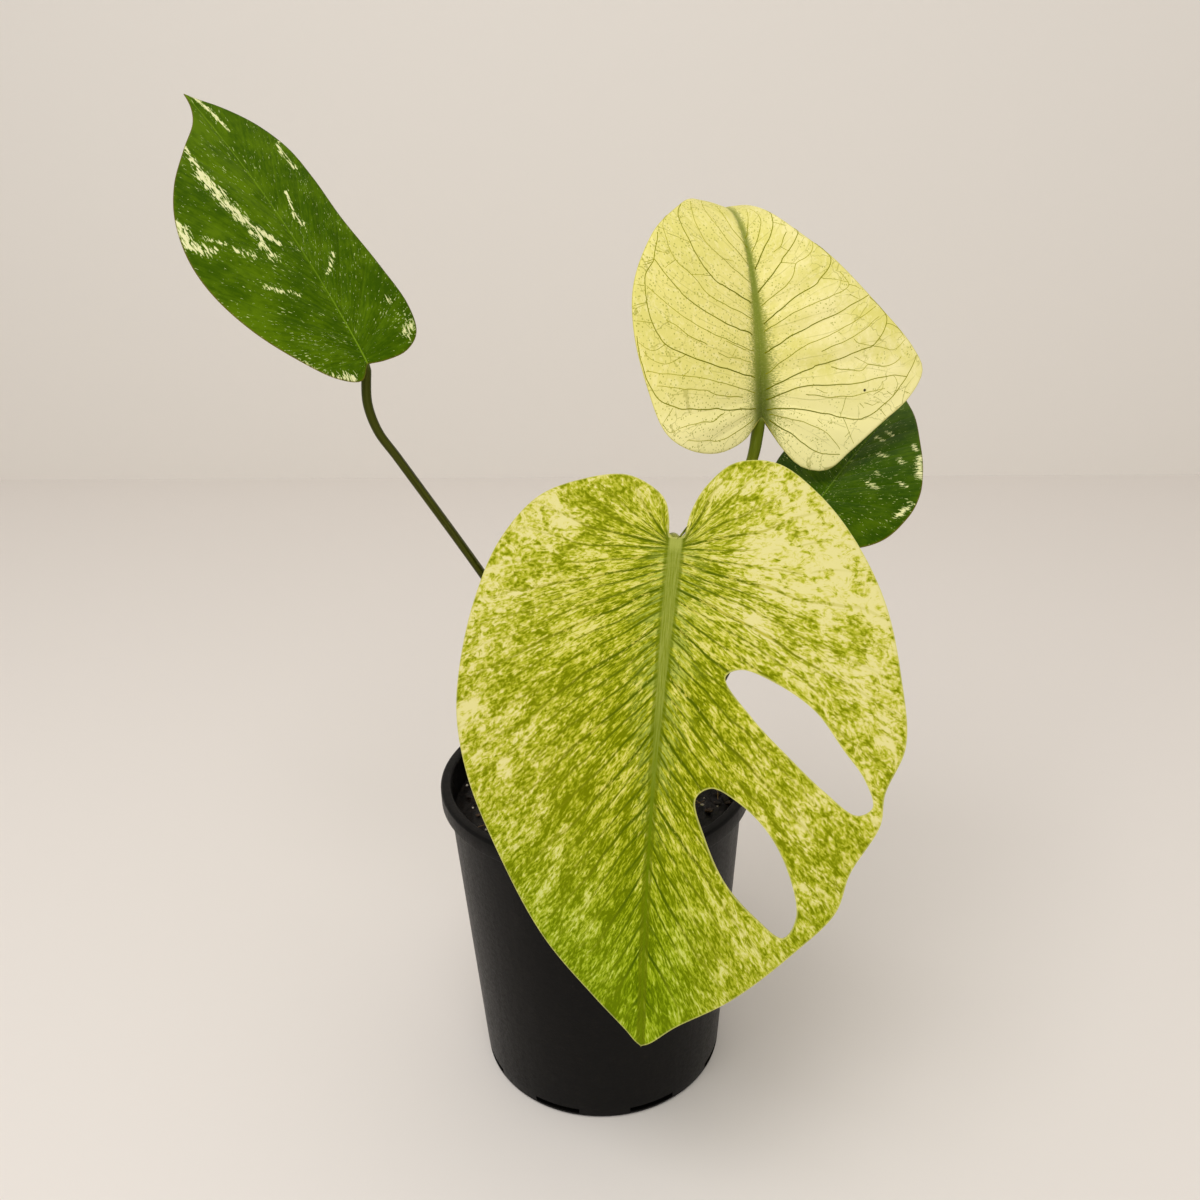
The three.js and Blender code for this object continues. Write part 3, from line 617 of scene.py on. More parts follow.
# %% Helpers for materials
class Value:
    """What a node gives. Arithmetic with it adds a node."""

    def __init__(self, recipe, socket):
        self.recipe = recipe
        self.socket = socket

    def math(self, operation, other=0.0):
        return self.recipe.node("ShaderNodeMath", {0: self, 1: other}, operation=operation)

    def __add__(self, other):
        return self.math("ADD", other)

    def __sub__(self, number):
        return self.math("ADD", -number)

    def __mul__(self, other):
        return self.math("MULTIPLY", other)

    def __truediv__(self, other):
        return self.math("DIVIDE", other)

    def __pow__(self, number):
        return self.math("POWER", number)

    def __abs__(self):
        return self.math("ABSOLUTE")

    def fade(self, start, end, low=0.0, high=1.0):
        """Goes smoothly from low at start to high at end."""
        limits = {0: self, 1: start, 2: end, 3: low, 4: high}
        return self.recipe.node("ShaderNodeMapRange", limits, interpolation_type="SMOOTHSTEP")

    def mix(self, a, b, blend="MIX"):
        """Colour a where the value is 0 and colour b where it is 1."""
        return self.recipe.node("ShaderNodeMix", {0: self, 6: a, 7: b}, 2, data_type="RGBA",
                                blend_type=blend)

    def tones(self, stops):
        """Sorts the value into colours: stops are pairs of a value and a colour."""
        tones = self.recipe.node("ShaderNodeValToRGB", {0: self})
        elements = tones.socket.node.color_ramp.elements
        while len(elements) < len(stops):
            elements.new(0.5)
        for element, (position, colour) in zip(elements, stops):
            element.position = position
            element.color = linear(colour)
        return tones


class Recipe:
    """A material under construction, with short calls that add nodes."""

    def __init__(self, name, roughness, specular=0.5, sheen=(255, 255, 255)):
        self.material = bpy.data.materials.new(name)
        self.material.use_nodes = True
        self.tree = self.material.node_tree
        self.shader = self.tree.nodes["Principled BSDF"]
        self.shader.inputs["Roughness"].default_value = roughness
        self.shader.inputs["Specular IOR Level"].default_value = specular
        self.shader.inputs["Specular Tint"].default_value = linear(sheen)

    def node(self, kind, inputs, output=0, **settings):
        """Adds a node. Its inputs may be values, numbers, colours or places of up to 3 values."""
        node = self.tree.nodes.new(kind)
        for key, value in settings.items():
            setattr(node, key, value)
        for key, value in inputs.items():
            if isinstance(value, tuple) and isinstance(value[0], Value):
                value = self.node("ShaderNodeCombineXYZ", dict(enumerate(value)))
            if isinstance(value, Value):
                self.tree.links.new(value.socket, node.inputs[key])
            else:
                node.inputs[key].default_value = linear(value) if isinstance(value, tuple) else value
        return Value(self, node.outputs[output])

    def split(self, place):
        node = self.node("ShaderNodeSeparateXYZ", {0: place}).socket.node
        return [Value(self, output) for output in node.outputs]

    def attribute(self, name):
        return self.node("ShaderNodeAttribute", {}, "Fac", attribute_name=name)

    def uv(self, name):
        return self.split(self.node("ShaderNodeUVMap", {}, uv_map=name))[:2]

    def solid_place(self):
        return self.node("ShaderNodeTexCoord", {}, "Object")

    def noise(self, place, size, detail=3, roughness=0.6, twist=0):
        return self.node("ShaderNodeTexNoise", {
            "Vector": place, "Scale": 1 / size, "Detail": detail, "Roughness": roughness,
            "Distortion": twist})

    def cells(self, place, size, feature):
        return self.node("ShaderNodeTexVoronoi", {"Vector": place, "Scale": 1 / size},
                         "Distance", feature=feature)

    def wire(self, value, name):
        self.tree.links.new(value.socket, self.shader.inputs[name])

    def bump(self, height, strength, distance):
        self.wire(self.node("ShaderNodeBump", {
            "Strength": strength, "Distance": distance, "Height": height}), "Normal")

    def finish(self, colour):
        self.wire(colour, "Base Color")
        print("material", self.material.name, len(self.tree.nodes), "nodes")
        return self.material


def dress_all(pieces, material):
    for piece in pieces:
        piece.data.materials.clear()
        piece.data.materials.append(material)


def join_to(target, pieces):
    select_only(target)
    for piece in pieces:
        piece.select_set(True)
    bpy.ops.object.join()

# %% [markdown]
# Where the leaf is greener or paler is given as soft spots and strokes in the drawing. A
# spot is its centre, its two radii, its turn and its strength. A stroke is a line with a width.
# The vertices carry the sum, and the fine broken edge comes later from noise in the material.

# %% Soft spots and strokes
def soft_spots(facts, spots):
    total = np.zeros(len(facts["u"]))
    for u, v, radius_u, radius_v, turn, strength in spots:
        angle = math.radians(turn)
        du, dv = facts["u"] - u, facts["v"] - v
        first = (du * math.cos(angle) + dv * math.sin(angle)) / radius_u
        second = (dv * math.cos(angle) - du * math.sin(angle)) / radius_v
        total += strength * np.exp(-first**2 - second**2)
    return total


def soft_strokes(facts, strokes):
    total = np.zeros(len(facts["u"]))
    for width, strength, line in strokes:
        away = distance_to_lines(facts["u"], facts["v"], [line])
        total = np.maximum(total, strength * np.exp(-(away / width) ** 2))
    return total

# %% [markdown]
# The front leaf is the plant's largest, and it hangs before the pot with its face to the camera.
# Two natural holes open between its side veins. It is marbled all over: cream, pale lime and
# green in fine jagged flecks that are drawn out along the veins, greener beside the midrib and
# at the tip, and creamier towards the margins. Its tip points down, so u grows towards the left.

# %% The front leaf
PLAIN_LEAF = {"roll": 0, "curl": 0, "curl_from": 0.9, "sway": 0, "notch": 0, "holes": ()}
FRONT_LEAF = PLAIN_LEAF | {
    "base": (31.7, -30, 249.4), "heading": -104, "pitch": -50,
    "length": 182, "half_width": 80, "arch": 32,
    "fold": (4, 4), "droop": (20, 20), "midrib_depth": 2.2, "midrib_width": 4.9,
    "swell": 0.8, "crease": 0.2, "slant": 1.0, "notch": 2.9,
    "margins": (
        ((0, -1.3), (-2.7, -1.5), (-3, -3.2), (-3.9, -9.8), (-6, -16.4), (-9, -22), (-18, -31),
         (-33, -32), (-48, -22), (-62, -6), (-74, 16), (-81, 42), (-84, 66), (-78, 83), (-77, 94),
         (-68, 111), (-64, 125), (-51, 140), (-31, 159), (-12, 172), (-3, 180), (0, 181.5)),
        ((0, -1.3), (2.5, -1.4), (2.8, -3), (3.6, -9.4), (5.6, -15.6), (10, -20), (21, -25),
         (38, -23), (55, -16), (68, 1), (75, 24), (78, 50), (77, 70), (70, 92), (56, 117),
         (37, 145), (17, 165), (6, 175.5), (2, 180), (0, 181.5)),
    ),
    "holes": (
        ((-22, 48), (-27, 45), (-40, 49), (-53, 57), (-63, 69), (-71, 79), (-74, 88),
         (-69, 91), (-58, 84), (-45, 73), (-32, 61)),
        ((-15, 90), (-20, 86), (-28, 89), (-39, 98), (-47, 111), (-51, 127), (-47, 135),
         (-38, 129), (-27, 118), (-19, 103)),
    ),
    "veins": (0.124, 0.25, 0.39, 0.50, 0.595, 0.68, 0.755, 0.82, 0.88, 0.935),
}
FRONT_GREEN = 0.42
FRONT_SPOTS = (
    (-50, 4, 28, 30, 0, -0.34), (-78, 44, 12, 30, 0, -0.14), (-34, -24, 16, 8, 0, -0.10),
    (62, 6, 20, 24, 0, -0.10), (74, 44, 12, 40, 0, -0.16), (48, 112, 9, 18, 30, -0.10),
    (2, 66, 16, 60, 0, 0.13), (16, 122, 36, 38, 0, 0.18), (2, 168, 22, 30, 0, 0.26),
    (28, 60, 26, 36, 0, 0.14), (22, -8, 14, 12, 0, 0.05), (-20, -10, 10, 14, 0, 0.07),
    (-16, 62, 10, 34, 0, 0.12), (-62, 110, 12, 14, 0, 0.12),
)
front_leaf, front_facts = make_leaf(FRONT_LEAF, "leaf_front", 12)
add_attribute(front_leaf.data, "green", FRONT_GREEN + soft_spots(front_facts, FRONT_SPOTS))

# %% [markdown]
# The marbling is one noise, sorted into tones. It is read in the leaf's own grain: millimetres
# along the vein, drawn out, and veins counted across. Several sizes of noise are added, so the
# patches have ragged edges, and the given green field moves the whole mix up or down.

# %% The marbled face
VEIN_PITCH = 18
LEAF_SHEEN = (255, 248, 150)
MARBLE_TONES = (
    (0.02, (220, 212, 142)), (0.16, (214, 206, 122)), (0.20, (203, 198, 98)),
    (0.34, (194, 190, 80)), (0.38, (178, 178, 54)), (0.56, (164, 168, 36)),
    (0.61, (146, 153, 20)), (0.88, (112, 121, 0)),
)


def leaf_places(recipe):
    """The drawing in millimetres, and the grain: along the vein, and across in veins."""
    u, v = (part * UV_UNIT for part in recipe.uv("drawing"))
    vein, spacing = recipe.uv("veins")
    run, column = recipe.uv("run")
    run, across = run * UV_UNIT, vein * VEIN_PITCH
    return SimpleNamespace(u=u, v=v, vein=vein, spacing=spacing * UV_UNIT, run=run, column=column,
                           across=across,
                           grain=lambda stretch, layer=0: (run * stretch, across, layer))


def vein_lines(at, vein, width, offset=0):
    """1 on the side veins and 0 beyond this width in millimetres."""
    away = abs((vein + (0.5 + offset)).math("FRACT") - 0.5) * at.spacing
    return away.fade(width * 0.25, width, 1, 0)


def midrib_band(at, leaf, widen=0):
    """1 on the midrib and 0 beside it. It narrows towards the tip."""
    taper = at.v.fade(0, leaf["length"] * RIB_REACH, leaf["midrib_width"] / 2, RIB_TIP_HALF_WIDTH)
    return (abs(at.u) / (taper + widen).math("MAXIMUM", 0.3)).fade(0.7, 1.2, 1, 0)


def wandering_veins(recipe, at, amount, size):
    """The vein count, bent a little to and fro."""
    return at.vein + (recipe.noise(at.grain(1), size, 1) - 0.5) * amount


def marbled_material():
    recipe = Recipe("marbled_leaf", 0.55, 0.05, LEAF_SHEEN)
    at = leaf_places(recipe)
    green = recipe.attribute("green")
    patches = recipe.noise(at.grain(0.45), 10, 5, 0.62, 0.8)
    islands = recipe.noise(at.grain(0.6, 83), 5.4, 5, 0.68, 0.9)
    ragged = recipe.noise(at.grain(0.38, 31), 2.3, 5, 0.72, 1.5)
    flecks = recipe.noise(at.grain(0.45), 0.85, 1, 0.5, 0.3)
    streaks = recipe.noise(at.grain(0.12, 57), 0.8, 2)
    level = green + (patches - 0.5) * 1.4 + (islands - 0.5) * 1.4 + (ragged - 0.5) * 2.2
    level = level + (streaks - 0.5) * at.column.fade(0.05, 0.6, 1.3, 0.3)
    level = level + (flecks - 0.5) * level.fade(0.05, 0.45, 0.5, 1.3)
    inner = at.column.fade(0.3, 0.8, 1, 0) * green.fade(0.32, 0.46)
    marble = inner.mix(level.tones(MARBLE_TONES), (249, 251, 216), "MULTIPLY")

    vein = wandering_veins(recipe, at, 0.3, 26)
    faint = vein_lines(at, vein, 0.55, 0.34) + vein_lines(at, vein, 0.55, 0.67)
    broken = (recipe.noise(at.grain(0.5, 31), 6, 2) + green * 0.3).fade(0.44, 0.62)
    dark = vein_lines(at, vein, 0.75) * broken.fade(0, 0.5, 0.65, 1) + faint * 0.85 * broken
    dark = dark * at.column.fade(0.4, 0.95, 1, 0.3)
    winding = recipe.noise(at.grain(0.2, 12), 2.6, 3, 0.6, 0.6)
    cracks = abs(winding - 0.5).fade(0.004, 0.022, 0.7, 0) * level.fade(0.15, 0.4)
    dark = dark.math("MAXIMUM", cracks)
    sage = (recipe.noise(at.grain(0.12, 57), 1.3, 2).fade(0.46, 0.58)
            * at.column.fade(0.03, 0.22, 0.7, 0) * at.v.fade(60, 130, 1, 0))
    marble = sage.mix(marble, (160, 172, 76))
    olive = at.column.fade(0.1, 0.7).mix((76, 92, 0), (120, 124, 10))
    marble = dark.mix(marble, level.fade(0.05, 0.35).mix((180, 174, 60), olive))

    towards_tip = at.v.fade(80, 170) * at.u.fade(-34, -6, 0.3, 1)
    marble = towards_tip.mix(marble, (220, 246, 186), "MULTIPLY")
    beside = midrib_band(at, FRONT_LEAF, 1.3) + streaks.fade(0.4, 0.6) * -0.4
    marble = (beside.fade(0, 0.8) * 0.75).mix(marble, (96, 110, 4))
    stripes = recipe.noise((at.u, at.v * 0.05), 0.45, 2)
    rib = stripes.fade(0.36, 0.64).mix((124, 134, 36), (148, 156, 66))
    rib = at.v.fade(40, 110).mix(rib, (98, 118, 2))
    rib = at.v.fade(1, 6, 0.8, 0).mix(rib, (172, 178, 84))
    marble = (midrib_band(at, FRONT_LEAF) * 0.85).mix(marble, rib)
    marble = (recipe.attribute("rim").fade(0.15, 0.7, 1, 0) * 0.6).mix(marble, (206, 202, 120))
    fine_veins = (at.vein * (12 * math.pi)).math("SINE")
    recipe.bump(flecks * 0.5 + fine_veins * 0.12, 0.35, 0.0004)
    return recipe.finish(marble)

# %% [markdown]
# The underside of a leaf is duller and paler, with the veins standing out in a lighter green. All
# four undersides share one recipe with their own two colours.

# %% The undersides
def lighter(colour, amount):
    return tuple(min(255, value + amount) for value in colour)


def underside_material(name, leaf, pale, deep):
    recipe = Recipe(name, 0.6, 0.35)
    at = leaf_places(recipe)
    colour = recipe.noise(at.grain(0.5), 8, 7, 0.7).fade(0.4, 0.6).mix(pale, deep)
    colour = (vein_lines(at, at.vein, 0.9) * 0.6).mix(colour, lighter(pale, 22))
    colour = (midrib_band(at, leaf) * 0.8).mix(colour, lighter(pale, 22))
    recipe.bump(recipe.noise(at.grain(0.5), 1.6, 3), 0.3, 0.0004)
    return recipe.finish(colour)


def dress_leaf(leaf_object, upper, under):
    leaf_object.data.materials[0] = upper
    leaf_object.data.materials[1] = under


dress_leaf(front_leaf, marbled_material(),
           underside_material("marbled_underside", FRONT_LEAF, (198, 204, 128), (160, 176, 78)))

# %% [markdown]
# The left leaf stands highest, with its tip up. It is green, with a broken cream streak along
# one side, a cream blotch at its margin, and fine flecks elsewhere. The streak is a few strokes in
# the drawing, broken up by a noise that is drawn out in the same direction.

# %% The left leaf
GREEN_LEAF = PLAIN_LEAF | {
    "midrib_width": 3.0, "slant": 0.5, "veins": (0.14, 0.27, 0.40, 0.52, 0.62, 0.71, 0.79, 0.87),
}
LEFT_LEAF = GREEN_LEAF | {
    "base": (-82.4, 20, 307), "heading": 141, "pitch": 55, "roll": -14,
    "length": 139, "half_width": 38, "arch": 18, "sway": -5,
    "fold": (10, 10), "droop": (10, 20), "midrib_depth": 1.4, "swell": 0.6, "crease": 0.2,
    "margins": (
        ((0, 0), (-6, -6), (-15, -3), (-26, 8), (-36, 23), (-42, 40), (-43, 56), (-39, 74),
         (-31, 90), (-18, 107), (-6.5, 121), (-2, 130.5), (0, 139)),
        ((0, 0), (7, -1), (17, 0), (25, 6), (28, 18), (26, 38), (23, 62), (23, 83),
         (22, 100), (17, 115), (9, 127.5), (3, 134.5), (0, 139)),
    ),
}
LEFT_STROKES = (
    (1.3, 0.9, ((-17.3, 108), (-18.7, 92))), (2.3, 1.0, ((-18.7, 93), (-17.5, 80), (-15, 68))),
    (1.6, 0.9, ((-15, 69), (-11.5, 62), (-7.8, 56.5))), (1.5, 0.8, ((-14.5, 62), (-13, 50))),
    (1.7, 0.62, ((-24.4, 56), (-19.8, 52))), (0.8, 0.6, ((-33, 64), (-28, 60))),
    (2.3, 1.0, ((-39, 72), (-40, 63), (-36, 59))), (1.5, 0.9, ((-36, 59), (-32, 58.5))),
    (0.7, 1.1, ((1.9, 138), (3.0, 130), (4.2, 116))),
    (1.0, 0.7, ((19.6, 104), (17.4, 97), (18.4, 89))),
    (0.8, 0.75, ((8.2, 78), (5.4, 67), (6.6, 61))), (0.8, 0.7, ((10.4, 46.5), (7, 42.6), (4.3, 40))),
    (1.1, 0.72, ((-22, 38), (-16.5, 35.3))), (0.7, 0.6, ((-14.6, 34.8), (-12.6, 33.2))),
    (1.0, 0.6, ((20.4, 22.5), (21, 20))), (2.2, 0.75, ((-20, -2), (-9, -4))),
    (1.6, 0.6, ((-27, 7), (-23, 3))), (2.0, 0.6, ((24, 10), (20, 6))),
)
LEFT_FLECKED = (
    (-24, 8, 14, 12, 0, 0.30), (22, 14, 8, 16, 0, 0.30), (0, 60, 60, 80, 0, 0.22),
)
LEFT_LIGHT = ((-8, 92, 7, 26, 6, 0.8), (-31, 26, 7, 16, -20, 0.8), (-4, 120, 6, 14, 0, 0.5))


def make_green_leaf(leaf, name, strokes, flecked, light):
    """A green leaf with the markings that its material reads."""
    leaf_object, facts = make_leaf(leaf, name, 10)
    add_attribute(leaf_object.data, "cream", soft_strokes(facts, strokes))
    add_attribute(leaf_object.data, "flecked", soft_spots(facts, flecked))
    add_attribute(leaf_object.data, "light", soft_spots(facts, light))
    return leaf_object


left_leaf = make_green_leaf(LEFT_LEAF, "leaf_left", LEFT_STROKES, LEFT_FLECKED, LEFT_LIGHT)

# %% [markdown]
# The right leaf is behind the others and shows only its edge and one half. It is the same green
# kind, with cream patches at its margin, so one recipe serves the two green leaves. Its flecks
# run along its veins, where those of the left leaf run along its midrib.

# %% The right leaf
RIGHT_LEAF = GREEN_LEAF | {
    "base": (90.5, 20, 243.2), "heading": 52, "pitch": 25,
    "length": 94, "half_width": 40, "arch": 12,
    "fold": (8, 8), "droop": (10, 10), "midrib_depth": 1.6, "swell": 0.25, "crease": 0.14,
    "margins": (
        ((0, 0), (-4, -8), (-11, -14), (-19, -11), (-25, 1), (-28, 18), (-30, 34), (-28, 52),
         (-20, 70), (-9, 85), (0, 94)),
        ((0, 0), (4, -8), (13, -17), (26, -18), (35, -11), (39, 4), (38, 18), (32, 36),
         (23, 55), (12, 76), (0, 94)),
    ),
}
RIGHT_STROKES = (
    (1.7, 0.9, ((34, 29), (30.5, 36), (28, 43))), (1.5, 0.75, ((35, 3), (37, 11))),
    (0.8, 0.8, ((6, 60), (10, 57.5))), (0.8, 0.75, ((3.5, 55), (8, 52))),
    (0.8, 0.7, ((10, 42.5), (14.5, 40))), (0.9, 0.8, ((20, 39.5), (23.5, 36.5))),
    (0.8, 0.65, ((14, 28.5), (18, 26))), (0.9, 0.75, ((14, 21.5), (21, 17.5))),
    (1.0, 0.8, ((27, 24), (31, 21))), (0.9, 0.75, ((21.5, 51.5), (24.5, 47.5))),
    (1.2, 0.6, ((-12, 30), (-16, 40))),
)
RIGHT_FLECKED = ((28, 0, 10, 12, 0, 0.3), (0, 40, 60, 60, 0, 0.2))
RIGHT_LIGHT = ((0, 90, 20, 20, 0, 0.5), (-14, 20, 10, 20, 0, 0.4))
right_leaf = make_green_leaf(RIGHT_LEAF, "leaf_right", RIGHT_STROKES, RIGHT_FLECKED, RIGHT_LIGHT)


def green_material(name, leaf, deep, light, along_veins):
    recipe = Recipe(name, 0.46, 0.04, LEAF_SHEEN)
    at = leaf_places(recipe)
    cloud = recipe.noise((at.u, at.v), 18, 5, 0.65)
    brush = recipe.noise(at.grain(0.4), 2.4, 4, 0.65)
    level = cloud * 0.6 + brush * 0.4 + recipe.attribute("light") * 0.14
    colour = level.fade(0.40, 0.66).mix(deep, light)
    brighter = tuple(int(value * 1.1) + 10 for value in light)
    colour = (vein_lines(at, at.vein, 0.5) * 0.12).mix(colour, brighter)
    pale_foot = at.v.fade(0, leaf["length"] * 0.3, 0.8, 0.4)
    colour = (midrib_band(at, leaf, -1.15) * pale_foot).mix(colour, lighter(brighter, 14))

    brushed = at.grain(0.22) if along_veins else (at.u, at.v * 0.22)
    slits = recipe.noise(brushed, 0.75, 3, 0.6, 0.5).fade(0.36, 0.62)
    marks = recipe.attribute("cream") + slits * -0.9
    colour = marks.fade(0.04, 0.14).mix(colour, (198, 206, 134))
    colour = marks.fade(0.2, 0.42).mix(colour, (228, 226, 172))
    specks = (recipe.noise(at.grain(0.4), 0.85, 2) + recipe.attribute("flecked") * 0.2
              + recipe.noise(at.grain(0.4), 7, 2) * 0.3)
    colour = (specks.fade(0.84, 0.89) * 0.85).mix(colour, (190, 200, 130))
    colour = (recipe.attribute("rim").fade(0.1, 0.5, 1, 0) * 0.7).mix(colour, (104, 92, 30))
    recipe.bump(brush, 0.2, 0.0003)
    return recipe.finish(colour)


dress_leaf(left_leaf, green_material("green_leaf_left", LEFT_LEAF, (52, 80, 1), (84, 112, 6), False),
           underside_material("green_underside_left", LEFT_LEAF, (128, 156, 84), (112, 142, 66)))
dress_leaf(right_leaf, green_material("green_leaf_right", RIGHT_LEAF, (42, 71, 0), (70, 97, 4), True),
           underside_material("green_underside_right", RIGHT_LEAF, (112, 142, 70), (98, 128, 56)))

# %% [markdown]
# The back leaf is the newest, almost without green: a pale yellow face with a network of olive
# veins, a green midrib that is darkest where the stalk joins, and fine dots. Its side veins join
# near the margin in a chain of loops. Cells from a Voronoi pattern make the fine network.

# %% The back leaf
BACK_LEAF = PLAIN_LEAF | {
    "base": (70, 28, 280.5), "heading": 104, "pitch": 86,
    "length": 112, "half_width": 56, "arch": 34, "curl": 120, "curl_from": 0.45, "sway": -3,
    "fold": (24, 8), "droop": (10, 10), "midrib_depth": 2.0, "midrib_width": 5.0,
    "swell": 0.7, "crease": 0.1, "slant": 0,
    "margins": (
        ((0, 0), (-3, -2), (-8, -7), (-22, -11), (-37, -8), (-48, 0), (-54, 15), (-57, 34),
         (-54, 51), (-43, 67), (-25, 82), (-10, 98), (0, 112)),
        ((0, 0), (3, -4), (8, -12), (17, -21), (28, -23), (38, -16), (51, -6), (64, 4),
         (70, 14), (66, 23), (50, 42), (35, 59), (20, 74), (8, 94), (0, 112)),
    ),
    "veins": (0.20, 0.315, 0.49, 0.61, 0.69, 0.765, 0.84, 0.92),
}
DARK_DOT = (43, 8)
back_leaf, _ = make_leaf(BACK_LEAF, "leaf_back", 11)


def pale_material():
    recipe = Recipe("pale_leaf", 0.5, 0.08, LEAF_SHEEN)
    at = leaf_places(recipe)
    flat = (at.u, at.v)
    yellow = at.u.fade(-30, 55).mix((234, 224, 134), (242, 232, 166))
    colour = recipe.noise(flat, 24, 5, 0.65).fade(0.36, 0.62).mix(yellow, (224, 216, 122))
    mottle = recipe.noise(at.grain(1), 3.2, 3, 0.7, 1)
    colour = mottle.fade(0.5, 0.62, 0, 0.35).mix(colour, (250, 240, 178))
    # Painted light: towards the foot and over the lower lobes, which turn away from the lamp, the
    # face is mixed to a near-white yellow so that they look lit.
    colour = at.v.fade(-8, 24, 0.95, 0).mix(colour, (255, 246, 176))

    vein = wandering_veins(recipe, at, 0.5, 34)
    uneven = recipe.noise(at.grain(1), 9, 2).fade(0.36, 0.56, 0.2, 1)
    thirds = vein_lines(at, vein, 0.26, 0.25) + vein_lines(at, vein, 0.26, 0.75)
    thirds = thirds * at.column.fade(0.80, 0.87, 1, 0) * uneven
    warp = (recipe.noise(flat, 5, 2) - 0.5) * 3
    net_place = (at.run * 0.42 + warp, vein * 15 + warp)
    net = recipe.cells(net_place, 5, "DISTANCE_TO_EDGE").fade(0.006, 0.024, 1, 0)
    net = net * at.column.fade(0.5, 0.8, 0, 0.6) * uneven
    weak = (thirds * 0.4).math("MAXIMUM", net)
    colour = (weak * 0.85).mix(colour, (142, 140, 30))
    density = recipe.noise(flat, 9, 2) + at.u.fade(-40, 50, 0.08, -0.12)
    dotted = recipe.cells(flat, 1.15, "F1").fade(0.16, 0.34, 1, 0) * density.fade(0.34, 0.56)
    colour = (dotted * 0.75).mix(colour, (156, 156, 50))

    speckle = recipe.noise(at.grain(0.4), 0.55, 2, 0.7) - 0.5
    away = abs(at.u) / at.v.fade(0, 62, 3, 0.8)
    haze = (away.fade(0.6, 4.6, 0.75, 0) + speckle * 4).fade(0.1, 0.8) * away.fade(1, 5, 1, 0)
    core = (away + speckle * 3).fade(0.4, 1.7, 1, 0)
    reach = at.v.fade(50, 104, 1, 0.5)
    green = at.v.fade(0, 34).mix((62, 78, 4), (118, 130, 44))
    colour = (haze * reach * 0.85).mix(colour, (108, 122, 22))
    colour = (core * reach * 0.85).mix(colour, green)
    from_dot = (at.u - DARK_DOT[0]) ** 2 + (at.v - DARK_DOT[1]) ** 2
    colour = from_dot.fade(0.2, 0.45, 0.95, 0).mix(colour, (24, 18, 8))
    colour = (recipe.attribute("rim").fade(0.1, 0.5, 1, 0) * 0.6).mix(colour, (190, 182, 80))
    recipe.bump(weak, 0.2, 0.0003)
    return recipe.finish(colour)


dress_leaf(back_leaf, pale_material(),
           underside_material("pale_underside", BACK_LEAF, (222, 222, 156), (204, 208, 126)))

# %% [markdown]
# Each leaf hangs on a stalk that rises from the stem, swells into a knuckle under the blade, and
# runs on as the midrib's keel. Low down it has a sheath, two thin wings along a groove that faces
# the stem. A grid is rolled round the route: one side of the grid goes round, the other goes up.

# %% Stalks
STEM_PLACE = (18, 7)
STEM_RADIUS = 7
STALK_FOOT_RADIUS = 3.5
STALK_FOOT_LEVEL = 110
STALK_FOOT_DISTANCE = STEM_RADIUS + STALK_FOOT_RADIUS + 1.0
STALK_GAP = 0.3
STALK_SIDES = 36
STALK_RINGS = 150
GROOVE_DEPTH = 0.16
WING_HEIGHT = 0.42
WING_TURN = 0.85


def unit(vector):
    return vector / np.linalg.norm(vector)


def line_length(line):
    return np.sum(np.linalg.norm(np.diff(line, axis=0), axis=1))


def rolled_tube(name, path, radius_at, sides, facing):
    """A closed tube round a path. radius_at(fraction, turn) gives the radius all round."""
    rings = len(path) - 1
    deselect_all()
    bpy.ops.mesh.primitive_grid_add(x_subdivisions=sides, y_subdivisions=rings, size=2)
    tube = name_new(name)
    grid = mesh_places(tube.data)
    ring = np.rint((grid[:, 1] + 1) / 2 * rings).astype(int)
    turn = (grid[:, 0] + 1) * np.pi
    tangents = np.array([unit(t) for t in np.gradient(path, axis=0)])
    facing = np.asarray(facing, float)
    normal = unit(facing - tangents[0] * np.dot(facing, tangents[0]))
    normals = []
    for tangent in tangents:
        normal = unit(normal - tangent * np.dot(normal, tangent))
        normals.append(normal)
    normals = np.array(normals)
    sideways = np.cross(tangents, normals)
    radius = np.broadcast_to(radius_at(ring / rings, turn), ring.shape)[:, None]
    places = path[ring] + radius * (np.cos(turn)[:, None] * normals[ring]
                                    + np.sin(turn)[:, None] * sideways[ring])
    set_mesh_places(tube.data, places * MILLIMETRE)
    add_uv_map(tube.data, "drawing", np.column_stack([turn / np.pi, ring / rings]))
    merge_close(tube, 0.000005)
    select_where(tube, "EDGE", lambda edge: False)
    bpy.ops.mesh.select_non_manifold(extend=False, use_boundary=True, use_wire=False,
                                     use_multi_face=False, use_non_contiguous=False,
                                     use_verts=False)
    bpy.ops.mesh.edge_face_add()
    finish_edit()
    smooth_shading(tube, 45)
    return tube


